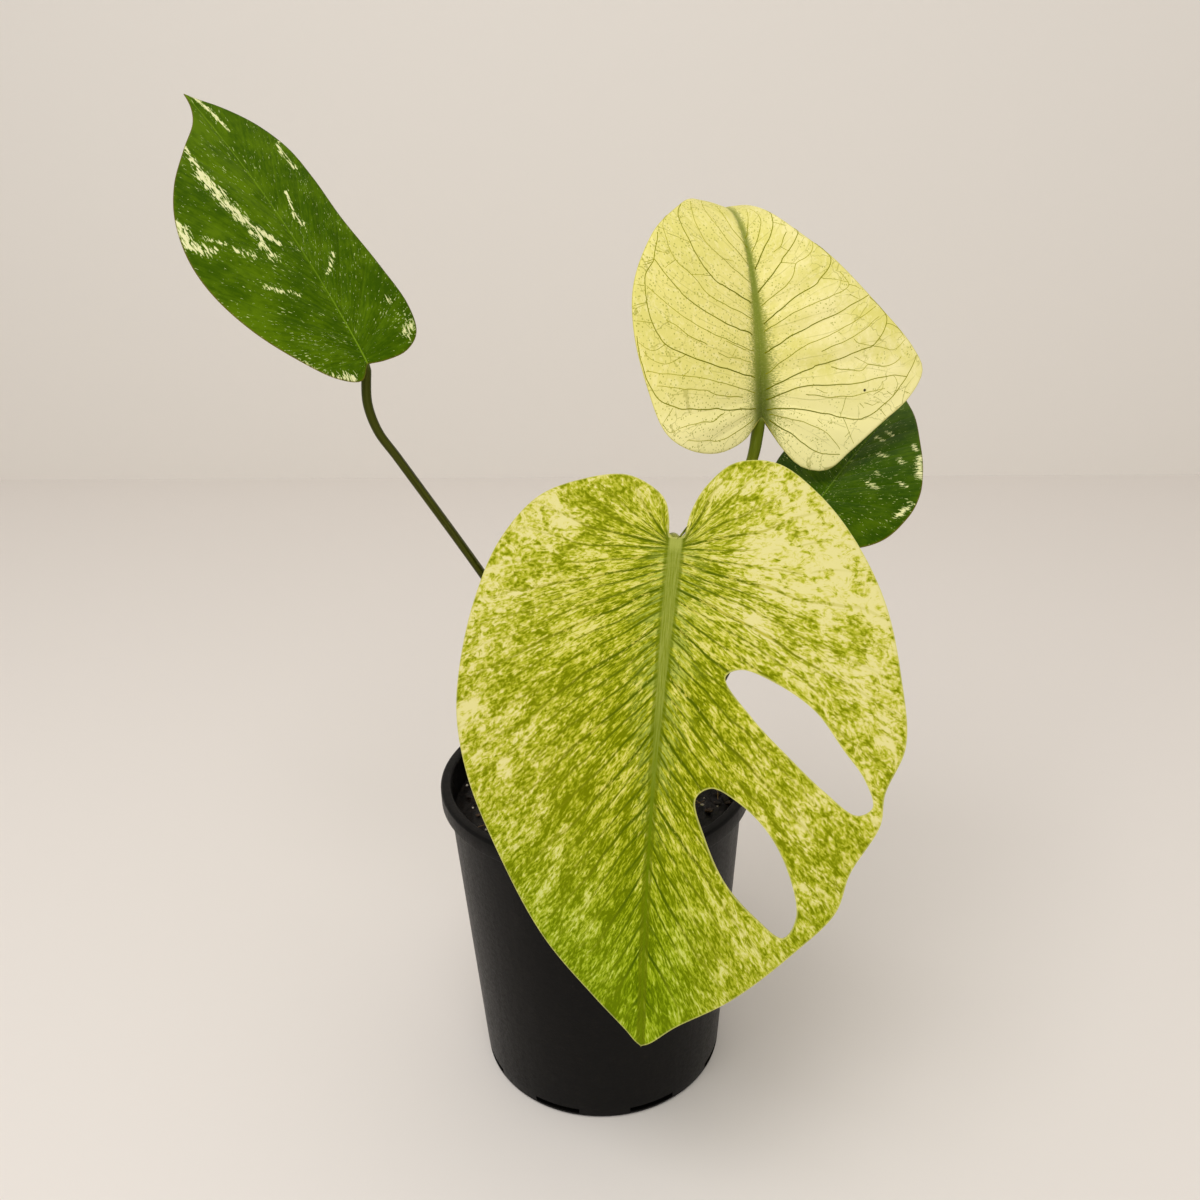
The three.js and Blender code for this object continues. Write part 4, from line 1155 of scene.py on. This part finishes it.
def make_stalk(place, leaf, radius, knuckle, foot_angle, route, arrival, seat=0):
    """A stalk up to where it arrives at the leaf, its knuckle and the start of the keel."""
    arrival = unit(np.array(arrival, float))
    end = midrib_place(leaf, seat, -0.5 * knuckle) - 1.5 * knuckle * arrival
    angle = math.radians(foot_angle)
    foot = np.array([STEM_PLACE[0] + STALK_FOOT_DISTANCE * math.cos(angle),
                     STEM_PLACE[1] + STALK_FOOT_DISTANCE * math.sin(angle), STALK_FOOT_LEVEL])
    route = np.array(route, float)
    upright = foot + 0.16 * (route[0] - foot)
    upright[:2] = (upright[:2] + foot[:2]) / 2
    lower = smooth_line([foot, upright, *route, end - (STALK_GAP + 1.2 * knuckle) * arrival,
                         end - STALK_GAP * arrival])
    upper = smooth_line([end, end + 0.6 * knuckle * arrival,
                         midrib_place(leaf, seat + 0.8 * knuckle, -0.75 * knuckle),
                         midrib_place(leaf, 0.1 * leaf["length"], -0.4 * leaf["midrib_depth"])])
    share = line_length(lower) / (line_length(lower) + line_length(upper))
    path = along_line(np.vstack([lower, upper]), np.linspace(0, 1, STALK_RINGS + 1))

    def radius_at(fraction, turn):
        rise = np.clip(fraction / share, 0, 1)
        tip = np.clip((fraction - share) / (1 - share), 0, 1)
        sheath = 1 - smoothstep(rise, 0.02, 0.3)
        plain = (radius + (STALK_FOOT_RADIUS - radius) * sheath
                 + (knuckle - radius) * smoothstep(rise, 0.86, 1)) * (1 - 0.86 * tip)
        away = np.abs((turn + np.pi) % (2 * np.pi) - np.pi)
        groove = GROOVE_DEPTH * np.exp(-(away / 0.5) ** 2) * (1 - smoothstep(rise, 0.75, 0.95))
        wings = (WING_HEIGHT * np.exp(-((away - WING_TURN) / 0.16) ** 2)
                 * (1 - smoothstep(rise, 0.2, 0.42)))
        return plain * (1 - groove + wings * smoothstep(rise, 0.0, 0.05))

    facing = np.array([*STEM_PLACE, 0]) - foot * np.array([1, 1, 0])
    return rolled_tube(f"leafstalk_{place}", path, radius_at, STALK_SIDES, facing)


stalk_front = make_stalk("front", FRONT_LEAF, 2.5, 2.9, -80, (
    (25.5, -7, 190), (29.5, -13, 232), (31.4, -20, 246.5)), (0.02, -0.97, 0.24), seat=4)
stalk_left = make_stalk("left", LEFT_LEAF, 1.8, 1.9, 172, (
    (-17, 10.8, 178), (-44, 13.5, 224), (-73.7, 17.6, 270.6), (-80.7, 18.4, 281.5),
    (-83.7, 19, 292)), (0.12, 0.1, 0.98))
stalk_back = make_stalk("back", BACK_LEAF, 2.1, 2.5, 65, (
    (46.5, 19, 206.5), (66.9, 26, 265.5)), (0.14, 0.05, 0.99))
stalk_right = make_stalk("right", RIGHT_LEAF, 1.9, 2.0, 10, (
    (58, 14, 180), (84, 18.4, 231)), (0.6, 0.2, 0.77))

# %% [markdown]
# A stalk is smooth and fleshy, with faint lines along it and small pale flecks. The two stalks of
# the pale leaves are yellow-green and the two others olive green. The knuckle has a tone of its
# own, and so has the start of the keel under the leaf. On the front stalk both are pale green and
# are made paler still as painted light, because the knuckle sits in shade behind the notch.

# %% Stalk finish
def stalk_material(name, deep, light, top, tail):
    recipe = Recipe(name, 0.35, 0.25, LEAF_SHEEN)
    around, up = recipe.uv("drawing")
    lines = recipe.noise((around * 9, up * 5), 1, 4)
    flecks = recipe.noise((around * 14, up * 60), 1, 2)
    colour = lines.fade(0.38, 0.62).mix(deep, light)
    colour = (flecks.fade(0.68, 0.74) * 0.6).mix(colour, lighter(light, 50))
    colour = up.fade(0.78, 0.88, 0, 0.85).mix(colour, top)
    colour = up.fade(0.93, 0.97).mix(colour, tail)
    recipe.bump(lines, 0.2, 0.0003)
    return recipe.finish(colour)


dress_all([stalk_left, stalk_right], stalk_material(
    "green_stalk", (34, 37, 2), (58, 62, 10), (46, 52, 6), (122, 150, 80)))
# On the front stalk the knuckle and the start of the keel are pale green, partly their own tone and
# partly painted light against the shade behind the notch.
dress_all([stalk_front], stalk_material(
    "front_stalk", (112, 116, 30), (146, 148, 52), (176, 180, 92), (184, 190, 108)))
dress_all([stalk_back], stalk_material(
    "back_stalk", (104, 108, 6), (140, 142, 32), (70, 86, 4), (216, 218, 146)))

# %% [markdown]
# The back leaf's veins are its finest feature: side veins that bend over near the margin and join
# the next, and short links out to the edge. Each is drawn as a few points in the leaf's drawing,
# made a smooth line, and rolled into a thread that lies half sunk in the upper face.

# %% Veins of the back leaf
STRONG_VEINS = (
    ((-3, 4), (-25, 6), (-42, 8), (-50, 12), (-54, 18), (-56, 26), (-56, 33)),
    ((-3, 16), (-27, 23), (-44, 30), (-49, 37), (-50, 45), (-49, 53), (-44, 59), (-40, 68)),
    ((-3, 32), (-25, 41), (-36, 49), (-44, 59)),
    ((-2, 44), (-20, 54), (-27, 65), (-29, 74), (-25, 82)),
    ((2, 3), (12, 3), (27, 0), (42, -3), (56, 5), (63, 13), (67, 20)),
    ((2, 7), (16, 11), (39, 11), (56, 13), (62, 12)),
    ((2, 11), (14, 16), (37, 22), (47, 25), (54, 33), (54, 38), (48, 44)),
    ((2, 25), (16, 32), (33, 38), (48, 45)), ((2, 36), (17, 46), (28, 52), (33, 59), (29, 67)),
    ((1, 48), (12, 59), (21, 69), (24, 75)), ((1, 57), (8, 67), (13, 76), (14, 82)),
    ((3, -1), (12, -7), (23, -15), (33, -17)),
)
FINE_VEINS = (
    ((-4, 0), (-17, -5), (-24, -6), (-38, -4)), ((-20, 4), (-25, 2), (-32, 2), (-41, 1)),
    ((-3, 10), (-28, 17), (-46, 20), (-54, 21)), ((-3, 26), (-28, 35), (-41, 43), (-49, 50)),
    ((-2, 38), (-23, 47), (-29, 54), (-35, 59), (-37, 68), (-35, 76)),
    ((-1, 52), (-13, 60), (-20, 67), (-22, 76), (-19, 85)),
    ((-1, 59), (-11, 70), (-15, 80), (-13, 88)), ((0, 66), (-6, 76), (-8, 87)),
    ((3, 1), (15, -2), (26, -7), (33, -15)), ((18, 8), (35, 6), (52, 8)),
    ((45, 18), (55, 17), (60, 20)), ((2, 17), (17, 26), (34, 32), (50, 40)),
    ((25, 24), (39, 29), (51, 36)), ((2, 33), (16, 40), (32, 45), (39, 49), (36, 54)),
    ((2, 43), (15, 52), (18, 58), (25, 62), (27, 67)), ((1, 64), (6, 72), (9, 80), (6, 86)),
    ((0, 70), (3, 77), (5, 84)), ((-10, 9), (-23, 11), (-29, 13), (-37, 14), (-44, 15), (-50, 16)),
    ((-26, 29), (-33, 32), (-39, 36), (-43, 38)), ((-7, 26.5), (-17, 30)),
    ((29, 18), (32, 17), (38, 16), (42, 16), (45, 18)), ((17, 71), (15, 68), (13, 65), (10, 63)),
)
LINK_VEINS = (
    ((-44, 30), (-50, 28), (-56, 31)), ((-36, 26), (-45, 23), (-51, 25), (-54, 28)),
    ((-50, 44), (-57, 43)), ((-48, 37), (-56, 38)), ((-50, 50), (-55, 51)),
    ((-44, 59), (-48, 58)), ((-20, 54), (-29, 54)), ((-35, 59), (-40, 56)),
    ((-36, 68), (-27, 65)), ((47, 25), (57, 23), (63, 27)), ((28, 52), (39, 50)),
    ((12, 59), (18, 58)), ((54, 33), (60, 31), (62, 27)), ((13, 76), (18, 74)),
    ((35, 6), (33, -2)), ((-49, 3), (-46, 0), (-41, 1)), ((56, 5), (58, 9), (56, 13)),
    ((-44, 8), (-49, 3)), ((39, 21), (45, 18)), ((22, 10), (27, 8)), ((13, 65), (17, 63)),
    ((-45, 58), (-49, 57)), ((-43, 62), (-37, 61)), ((-14, 60), (-8, 60)), ((39, 45), (43, 43)),
    ((39, 49), (42, 48), (44, 47)), ((36, 54), (39, 50)), ((39, 28), (41, 26), (47, 25)),
    ((59, 32), (61, 29), (59, 27)), ((47, 6), (51, 8), (51, 11)), ((53, 7), (56, 5)),
    ((61, 6), (64, 5)), ((50, 0), (53, -3)), ((41, 3), (43, 1)), ((43, 3), (47, 2), (49, 3)),
    ((34, -2), (36, -6), (39, -13)), ((37, -8), (35, -10)), ((23, -2), (25, -4)),
    ((-39, 18), (-36, 20)), ((-53, 28), (-53, 26)), ((-21, 26), (-15, 24), (-12, 27)),
    ((-15, 24), (-5, 22)),
)
VEIN_SIDES = 6
VEIN_STEP = 1.2
VEIN_SINK = 0.06
VEIN_WANDER = 0.5
WANDER_SIZE = 5.0


def lay_vein(leaf_object, leaf, points, start_radius, end_radius):
    """A thin thread along a line in the drawing, half sunk into the leaf's upper face."""
    line = smooth_line(points)
    rings = max(3, int(line_length(line) / VEIN_STEP))
    flat = along_line(line, np.linspace(0, 1, rings + 1))
    for place in flat[1:-1]:
        place += np.array([noise.noise(Vector((*place, layer)) / WANDER_SIZE)
                           for layer in (2.0, 9.0)]) * VEIN_WANDER
    above = bend_leaf(leaf, flat[:, 0], flat[:, 1], np.full(len(flat), 1.5)) * MILLIMETRE
    nearest = [leaf_object.closest_point_on_mesh(Vector(place))[1:3] for place in above]
    path = np.array([np.array(place) / MILLIMETRE - VEIN_SINK * np.array(normal)
                     for place, normal in nearest])
    return rolled_tube("vein", path,
                       lambda part, turn: start_radius + (end_radius - start_radius) * part,
                       VEIN_SIDES, nearest[0][1])


def vein_material(name, near, far):
    recipe = Recipe(name, 0.7, 0.0, LEAF_SHEEN)
    around, along = recipe.uv("drawing")
    level = along * 0.7 + recipe.noise(recipe.solid_place(), 0.004, 2)
    return recipe.finish(level.fade(0.4, 1.2).mix(near, far))


strong_green = vein_material("strong_vein", (106, 110, 0), (146, 143, 2))
fine_green = vein_material("fine_vein", (136, 136, 0), (168, 162, 20))
veins = []
for group, radii, finish in ((STRONG_VEINS, (0.26, 0.17), strong_green),
                             (FINE_VEINS, (0.18, 0.13), fine_green),
                             (LINK_VEINS, (0.13, 0.11), fine_green)):
    laid = [lay_vein(back_leaf, BACK_LEAF, points, *radii) for points in group]
    dress_all(laid, finish)
    veins += laid
print(len(veins), "veins,", sum(len(vein.data.polygons) for vein in veins), "faces")
join_to(back_leaf, veins)

# %% [markdown]
# The stem is a short stub. Each old leaf left a scar ring round it, and its roots run out and
# down through the soil. Its outline is drawn as a line of vertices and spun round the stem's
# axis, and the roots are rolled tubes that a Boolean union joins to it.

# %% Stem and roots
STEM_BOTTOM = 74
STEM_TOP = 137
STEM_RING_SPACING = 13
STEM_RING_HEIGHT = 0.6
STEM_STEPS = 48
ROOT_COUNT = 6
ROOT_RADIUS = 1.7
ROOT_REACH = 41
ROOT_SIDES = 12
GOLDEN_ANGLE = math.pi * (3 - math.sqrt(5))


def spun_piece(name, outline, steps, centre=(0, 0)):
    """Spins an outline of (radius, height) points, in millimetres, into a closed piece."""
    deselect_all()
    bpy.ops.mesh.primitive_plane_add(size=1)
    piece = name_new(name)
    bpy.ops.object.mode_set(mode="EDIT")
    bpy.ops.mesh.delete(type="VERT")
    bpy.ops.object.mode_set(mode="OBJECT")
    points = [((centre[0] + radius) * MILLIMETRE, centre[1] * MILLIMETRE, height * MILLIMETRE)
              for radius, height in outline]
    piece.data.from_pydata(points, [(i, i + 1) for i in range(len(points) - 1)], [])
    select_where(piece, "VERT", lambda vertex: True)
    bpy.ops.mesh.spin(steps=steps, angle=2 * math.pi, use_auto_merge=False,
                      center=(centre[0] * MILLIMETRE, centre[1] * MILLIMETRE, 0), axis=(0, 0, 1))
    bpy.ops.object.mode_set(mode="OBJECT")
    merge_close(piece, 0.000002)
    return piece


def stem_outline():
    outline = [(0, STEM_BOTTOM)]
    for level in np.linspace(0, 1, 90):
        up = level * (STEM_TOP - STEM_BOTTOM)
        ring = STEM_RING_HEIGHT * math.cos(2 * math.pi * up / STEM_RING_SPACING) ** 8
        swell = 0.72 + 0.28 * smoothstep(level, 0, 0.25) - 0.25 * smoothstep(level, 0.85, 1)
        outline.append(((STEM_RADIUS - STEM_RING_HEIGHT) * swell + ring, STEM_BOTTOM + up))
    return outline + [(0.6 * STEM_RADIUS, STEM_TOP + 0.3), (0, STEM_TOP + 0.4)]


def root_path(root):
    """A root leaves the stem, runs out towards the pot's wall and down, each lower than the last."""
    angle = root * GOLDEN_ANGLE + 0.5
    start_level, end_level = 100 - root * 3.6, 62 - root * 8
    outwards = np.array([math.cos(angle), math.sin(angle)])
    stem_centre = np.array(STEM_PLACE, float)
    end = ROOT_REACH * np.array([math.cos(angle + 0.5), math.sin(angle + 0.5)])
    start = stem_centre + outwards * (STEM_RADIUS - 4)
    middle = (stem_centre + outwards * (STEM_RADIUS + 8)) * 0.55 + end * 0.45
    line = smooth_line([(*start, start_level), (*middle, start_level - 9),
                        (*end, (start_level + end_level) / 2 - 8), (*(end * 0.95), end_level - 6)])
    return along_line(line, np.linspace(0, 1, 41))


def root_radius(along, turn):
    return ROOT_RADIUS * (1 - 0.45 * along) + 0.1 * np.sin(40 * along + turn)


stem = spun_piece("stem_stub", stem_outline(), STEM_STEPS, STEM_PLACE)
for root in range(ROOT_COUNT):
    cut_with(stem, rolled_tube(f"root_{root}", root_path(root), root_radius, ROOT_SIDES, (0, 0, 1)),
             "UNION")
smooth_shading(stem, 50)


def stem_material():
    recipe = Recipe("stem_skin", 0.55)
    place = recipe.solid_place()
    fibres = recipe.noise(place, 0.003, 6, 0.7)
    corky = recipe.noise(place, 0.0012, 4, 0.7)
    colour = fibres.fade(0.35, 0.65).mix((96, 104, 44), (66, 72, 30))
    colour = (corky.fade(0.58, 0.7) * 0.7).mix(colour, (138, 116, 78))
    recipe.bump(corky, 0.4, 0.0006)
    return recipe.finish(colour)


stem.data.materials.append(stem_material())

# %% [markdown]
# Potting mix fills the pot to a finger's width below its rim. The body is spun like the stem, and
# its foot fits round the raised channel of the pot's base. Its top is a fine disc, which a sum of
# waves raises into lumps, and noise into crumbs.

# %% Soil body
SOIL_LEVEL = 126
SOIL_CLEARANCE = 0.3
POT_HEIGHT = 138.3
SKIRT_HEIGHT = 7.1
BODY_TOP_RADIUS = 61.8
BODY_BASE_RADIUS = 53.3
POT_WALL = 1.4
BASE_PLATE = 1.8
CHANNEL_RISE = 2.5
CENTRE_PAD_RADIUS = 20
CHANNEL_OUTER_RADIUS = 46
SOIL_RINGS = 70
SOIL_STEPS = 200
CRUMB_SIZE = 2.6


def pot_radius_at(height):
    taper = (BODY_TOP_RADIUS - BODY_BASE_RADIUS) * height / (POT_HEIGHT - SKIRT_HEIGHT)
    return BODY_BASE_RADIUS + taper


SOIL_RADIUS = pot_radius_at(SOIL_LEVEL) - POT_WALL - SOIL_CLEARANCE


def soil_outline():
    floor = BASE_PLATE + SOIL_CLEARANCE
    channel = CHANNEL_RISE + BASE_PLATE + SOIL_CLEARANCE
    inner_top = CENTRE_PAD_RADIUS + CHANNEL_RISE - SOIL_CLEARANCE
    outer_top = CHANNEL_OUTER_RADIUS - CHANNEL_RISE + SOIL_CLEARANCE
    outline = [(0, floor), (CENTRE_PAD_RADIUS - SOIL_CLEARANCE, floor), (inner_top, channel),
               (outer_top, channel), (CHANNEL_OUTER_RADIUS + SOIL_CLEARANCE, floor),
               (pot_radius_at(floor) - POT_WALL - 2 * SOIL_CLEARANCE, floor),
               (SOIL_RADIUS, SOIL_LEVEL - 1)]
    return outline + [(SOIL_RADIUS * ring / SOIL_RINGS, SOIL_LEVEL)
                      for ring in range(SOIL_RINGS, -1, -1)]


def soil_lump(x, y):
    return 1.6 * (0.45 * np.sin(0.21 * x + 0.13 * y + 0.6) + 0.35 * np.sin(0.33 * y - 0.19 * x + 2.1)
                  + 0.3 * np.sin(0.57 * x + 0.41 * y + 4.0) * np.sin(0.49 * y - 0.29 * x))


def crumb_height(x, y):
    """The height of crumbs at a place, from noise at two sizes."""
    coarse = noise.noise(Vector((x / CRUMB_SIZE, y / CRUMB_SIZE, 3.0)))
    fine = noise.noise(Vector((x / CRUMB_SIZE * 2.3, y / CRUMB_SIZE * 2.3, 8.0)))
    return 1.1 * abs(coarse) + 0.5 * fine


soil = spun_piece("potting_mix", soil_outline(), SOIL_STEPS)
soil_places = mesh_places(soil.data) / MILLIMETRE
for index, (x, y, z) in enumerate(soil_places):
    if z > SOIL_LEVEL - 0.5:
        near_edge = smoothstep(math.hypot(x, y), SOIL_RADIUS - 9, SOIL_RADIUS)
        lump = soil_lump(x, y) * (1 - 0.6 * near_edge) - near_edge
        soil_places[index, 2] = SOIL_LEVEL + lump + crumb_height(x, y) * (1 - 0.5 * near_edge)
set_mesh_places(soil.data, soil_places * MILLIMETRE)
print("soil body", len(soil.data.polygons), "faces")

# %% [markdown]
# On top of the body lie bark chips, grains of pumice and dry fibres. Each kind is modelled once
# and copied over the soil, each copy with its own mesh, place, turn and size. The random numbers
# start from a seed, so the soil is the same in every run.

# %% Chips, pumice and fibres
CHIP_COUNT = 240
PUMICE_COUNT = 110
FIBRE_COUNT = 50
SOIL_SEED = 7
CLEAR_OF_STEM = 15.5
FACET = 0.25
FACETED_SHARE = 0.35


def lumpy_stone(name, shape, roughness):
    """One stone or chip: an icosphere pulled to a shape, roughened and partly faceted."""
    deselect_all()
    bpy.ops.mesh.primitive_ico_sphere_add(subdivisions=2, radius=MILLIMETRE)
    stone = name_new(name)
    places = mesh_places(stone.data) / MILLIMETRE
    for index, place in enumerate(places):
        pushed = place * (1 + roughness * noise.noise(Vector(place * 1.1))) * shape
        faceted = np.round(pushed / FACET) * FACET
        places[index] = faceted * FACETED_SHARE + pushed * (1 - FACETED_SHARE)
    set_mesh_places(stone.data, places * MILLIMETRE)
    return stone


def scatter(model, count, chance, smallest, largest, sink):
    """Copies a model over the soil, each copy with its own mesh, turn and size."""
    copies = []
    while len(copies) < count:
        reach = (SOIL_RADIUS - 2.5) * math.sqrt(chance.random())
        angle = 2 * math.pi * chance.random()
        x, y = reach * math.cos(angle), reach * math.sin(angle)
        if math.dist((x, y), STEM_PLACE) < CLEAR_OF_STEM:
            continue
        copy = model.copy()
        copy.data = model.data.copy()
        bpy.context.collection.objects.link(copy)
        size = smallest + (largest - smallest) * chance.random() ** 2
        copy.scale = (size, size, size)
        copy.rotation_euler = (chance.uniform(-0.5, 0.5), chance.uniform(-0.5, 0.5),
                               chance.uniform(0, 2 * math.pi))
        height = SOIL_LEVEL + soil_lump(x, y) + crumb_height(x, y) + sink * size
        copy.location = Vector((x, y, height)) * MILLIMETRE
        copies.append(copy)
    remove_object(model)
    return copies


chance = random.Random(SOIL_SEED)
bark = lumpy_stone("bark", np.array([1.5, 0.8, 0.5]), 0.5)
chips = scatter(bark, CHIP_COUNT, chance, 0.9, 2.9, 0.15)
pumice = lumpy_stone("pumice", np.array([1.1, 0.9, 0.75]), 0.35)
grains = scatter(pumice, PUMICE_COUNT, chance, 0.5, 1.3, 0.2)
fibre_path = smooth_line([(-5, 0, 0), (-2, 0.8, 0.5), (2, -0.4, 0.7), (5, 0.6, 0)], 0.8)
fibre = rolled_tube("fibre", fibre_path, lambda along, turn: 0.16, 5, (0, 0, 1))
fibres = scatter(fibre, FIBRE_COUNT, chance, 0.5, 1.2, 0.4)
print(len(chips), "chips,", len(grains), "grains of pumice,", len(fibres), "fibres")

# %% [markdown]
# The mix is nearly black when it is wet, with brown bark, a few pale grains of pumice and tan
# fibres. Each kind has its own material, and joining the pieces keeps the material slots.

# %% Soil finish
def rough_material(name, dark, light, size, roughness):
    recipe = Recipe(name, roughness, 0.25)
    patches = recipe.noise(recipe.solid_place(), size * MILLIMETRE, 6, 0.7)
    recipe.bump(patches, 0.6, 0.001)
    return recipe.finish(patches.fade(0.4, 0.66).mix(dark, light))


dress_all([soil], rough_material("wet_peat", (8, 6, 5), (30, 22, 17), 2.5, 0.45))
dress_all(chips[::2], rough_material("dark_bark", (14, 10, 8), (44, 31, 23), 1.5, 0.35))
dress_all(chips[1::2], rough_material("brown_bark", (30, 21, 15), (86, 64, 44), 1.5, 0.45))
dress_all(grains, rough_material("pumice_grain", (176, 164, 146), (230, 222, 208), 0.8, 0.8))
dress_all(fibres, rough_material("dry_fibre", (118, 92, 60), (180, 150, 110), 1.0, 0.7))
join_to(soil, chips + grains + fibres)
smooth_shading(soil, 35)
print("potting mix", len(soil.data.polygons), "faces")

# %% [markdown]
# A nursery pot is blow-moulded from thin black plastic: a tapered wall, a flat lip with a skirt
# that hangs from it, a ring channel in the base with drain holes, and slots low in the wall. Half
# of its section is drawn as one closed line and spun round the axis, a bevel rounds its edges,
# and Booleans open the holes.

# %% The pot
RIM_RADIUS = 65
SKIRT_WALL = 1.4
FOOT_CHAMFER = 1.0
LIP_CHAMFER = 0.8
LIP_STEP = 1.2
POT_STEPS = 144
EDGE_ROUNDING = 0.4
DRAIN_COUNT = 8
DRAIN_HOLE_RADIUS = 4
SLOT_SIZE = (8, 20, 2.4)
SLOT_FLOOR = 2.0


def pot_outline():
    skirt_bottom = POT_HEIGHT - SKIRT_HEIGHT
    lip_underside = POT_HEIGHT - POT_WALL
    channel = CHANNEL_RISE + BASE_PLATE
    inner_top = BODY_TOP_RADIUS - POT_WALL
    inner_foot = pot_radius_at(BASE_PLATE) - POT_WALL
    pad_edge, ring_edge = CENTRE_PAD_RADIUS + CHANNEL_RISE, CHANNEL_OUTER_RADIUS - CHANNEL_RISE
    outline = [(0, 0), (CENTRE_PAD_RADIUS, 0), (pad_edge, CHANNEL_RISE), (ring_edge, CHANNEL_RISE),
               (CHANNEL_OUTER_RADIUS, 0), (BODY_BASE_RADIUS - FOOT_CHAMFER, 0),
               (BODY_BASE_RADIUS, FOOT_CHAMFER)]
    outline += [(pot_radius_at(height), height) for height in np.linspace(8, skirt_bottom, 24)]
    outline += [(BODY_TOP_RADIUS, lip_underside), (RIM_RADIUS - SKIRT_WALL, lip_underside),
                (RIM_RADIUS - SKIRT_WALL, skirt_bottom), (RIM_RADIUS, skirt_bottom),
                (RIM_RADIUS, POT_HEIGHT - LIP_CHAMFER), (RIM_RADIUS - LIP_CHAMFER, POT_HEIGHT),
                (inner_top + LIP_CHAMFER, POT_HEIGHT), (inner_top, POT_HEIGHT - LIP_STEP),
                (inner_top, skirt_bottom), (inner_foot, BASE_PLATE),
                (CHANNEL_OUTER_RADIUS, BASE_PLATE), (ring_edge, channel), (pad_edge, channel),
                (CENTRE_PAD_RADIUS, BASE_PLATE), (0, BASE_PLATE)]
    return outline


def ring_place(radius, turn, height):
    """A place in metres at a radius and a turn round the pot's axis."""
    return Vector((radius * math.cos(turn), radius * math.sin(turn), height)) * MILLIMETRE


pot = spun_piece("nursery_pot", pot_outline(), POT_STEPS)
apply_modifier(pot, "BEVEL", width=EDGE_ROUNDING * MILLIMETRE, segments=3, limit_method="ANGLE",
               angle_limit=math.radians(25))
for hole in range(DRAIN_COUNT):
    turn = 2 * math.pi * hole / DRAIN_COUNT
    deselect_all()
    bpy.ops.mesh.primitive_cylinder_add(
        vertices=32, radius=DRAIN_HOLE_RADIUS * MILLIMETRE, depth=0.012,
        location=ring_place((CENTRE_PAD_RADIUS + CHANNEL_OUTER_RADIUS) / 2, turn, CHANNEL_RISE))
    cut_with(pot, bpy.context.object)
    turn += math.pi / DRAIN_COUNT
    deselect_all()
    bpy.ops.mesh.primitive_cube_add(
        size=MILLIMETRE, scale=SLOT_SIZE, rotation=(0, 0, turn),
        location=ring_place(BODY_BASE_RADIUS, turn, SLOT_FLOOR + SLOT_SIZE[2] / 2))
    cut_with(pot, bpy.context.object)
smooth_shading(pot, 30)
print("pot", len(pot.data.polygons), "faces")

# %% [markdown]
# Black polypropylene is never quite black: it has a soft grey shine, broken by scuffs, dust and
# the faint upright marks that the mould leaves.

# %% Pot finish
def pot_material():
    recipe = Recipe("black_plastic", 0.42, 0.09)
    place = recipe.solid_place()
    x, y, height = recipe.split(place)
    marks = recipe.noise((y.math("ARCTAN2", x) * 9, height * 12), 1, 4)
    dust = recipe.noise(place, 0.006, 7, 0.75)
    scuffs = recipe.noise(place, 0.0016, 4, 0.7)
    recipe.wire((marks * 0.3 + scuffs * 0.7).fade(0.35, 0.68, 0.34, 0.48), "Roughness")
    recipe.bump(marks * 0.4 + scuffs * 0.25, 0.35, 0.0008)
    return recipe.finish(dust.fade(0.5, 0.75).mix((9, 8, 7), (18, 16, 14)))


pot.data.materials.append(pot_material())

# %% [markdown]
# Last, each piece is attached to the plant's root, so that it moves with the plant, and the CAD
# solid that it stands for is hidden.

# %% Hand over
HANDED = (
    (pot, "pot", "pot_plastic"), (soil, "soil", "soil_mix"), (stem, "stem", "stem_tissue"),
    (stalk_front, "stalk_front", "stalk_pale"), (stalk_back, "stalk_back", "stalk_pale"),
    (stalk_left, "stalk_left", "stalk_green"), (stalk_right, "stalk_right", "stalk_green"),
    (front_leaf, "blade_front", "leaf_cream"), (back_leaf, "blade_back", "leaf_cream"),
    (left_leaf, "blade_left", "leaf_green"), (right_leaf, "blade_right", "leaf_green"),
)
for piece, node, finish in HANDED:
    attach(piece, "root")
    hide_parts(node)
    print(f"{piece.name:16} {len(piece.data.polygons):6} faces")
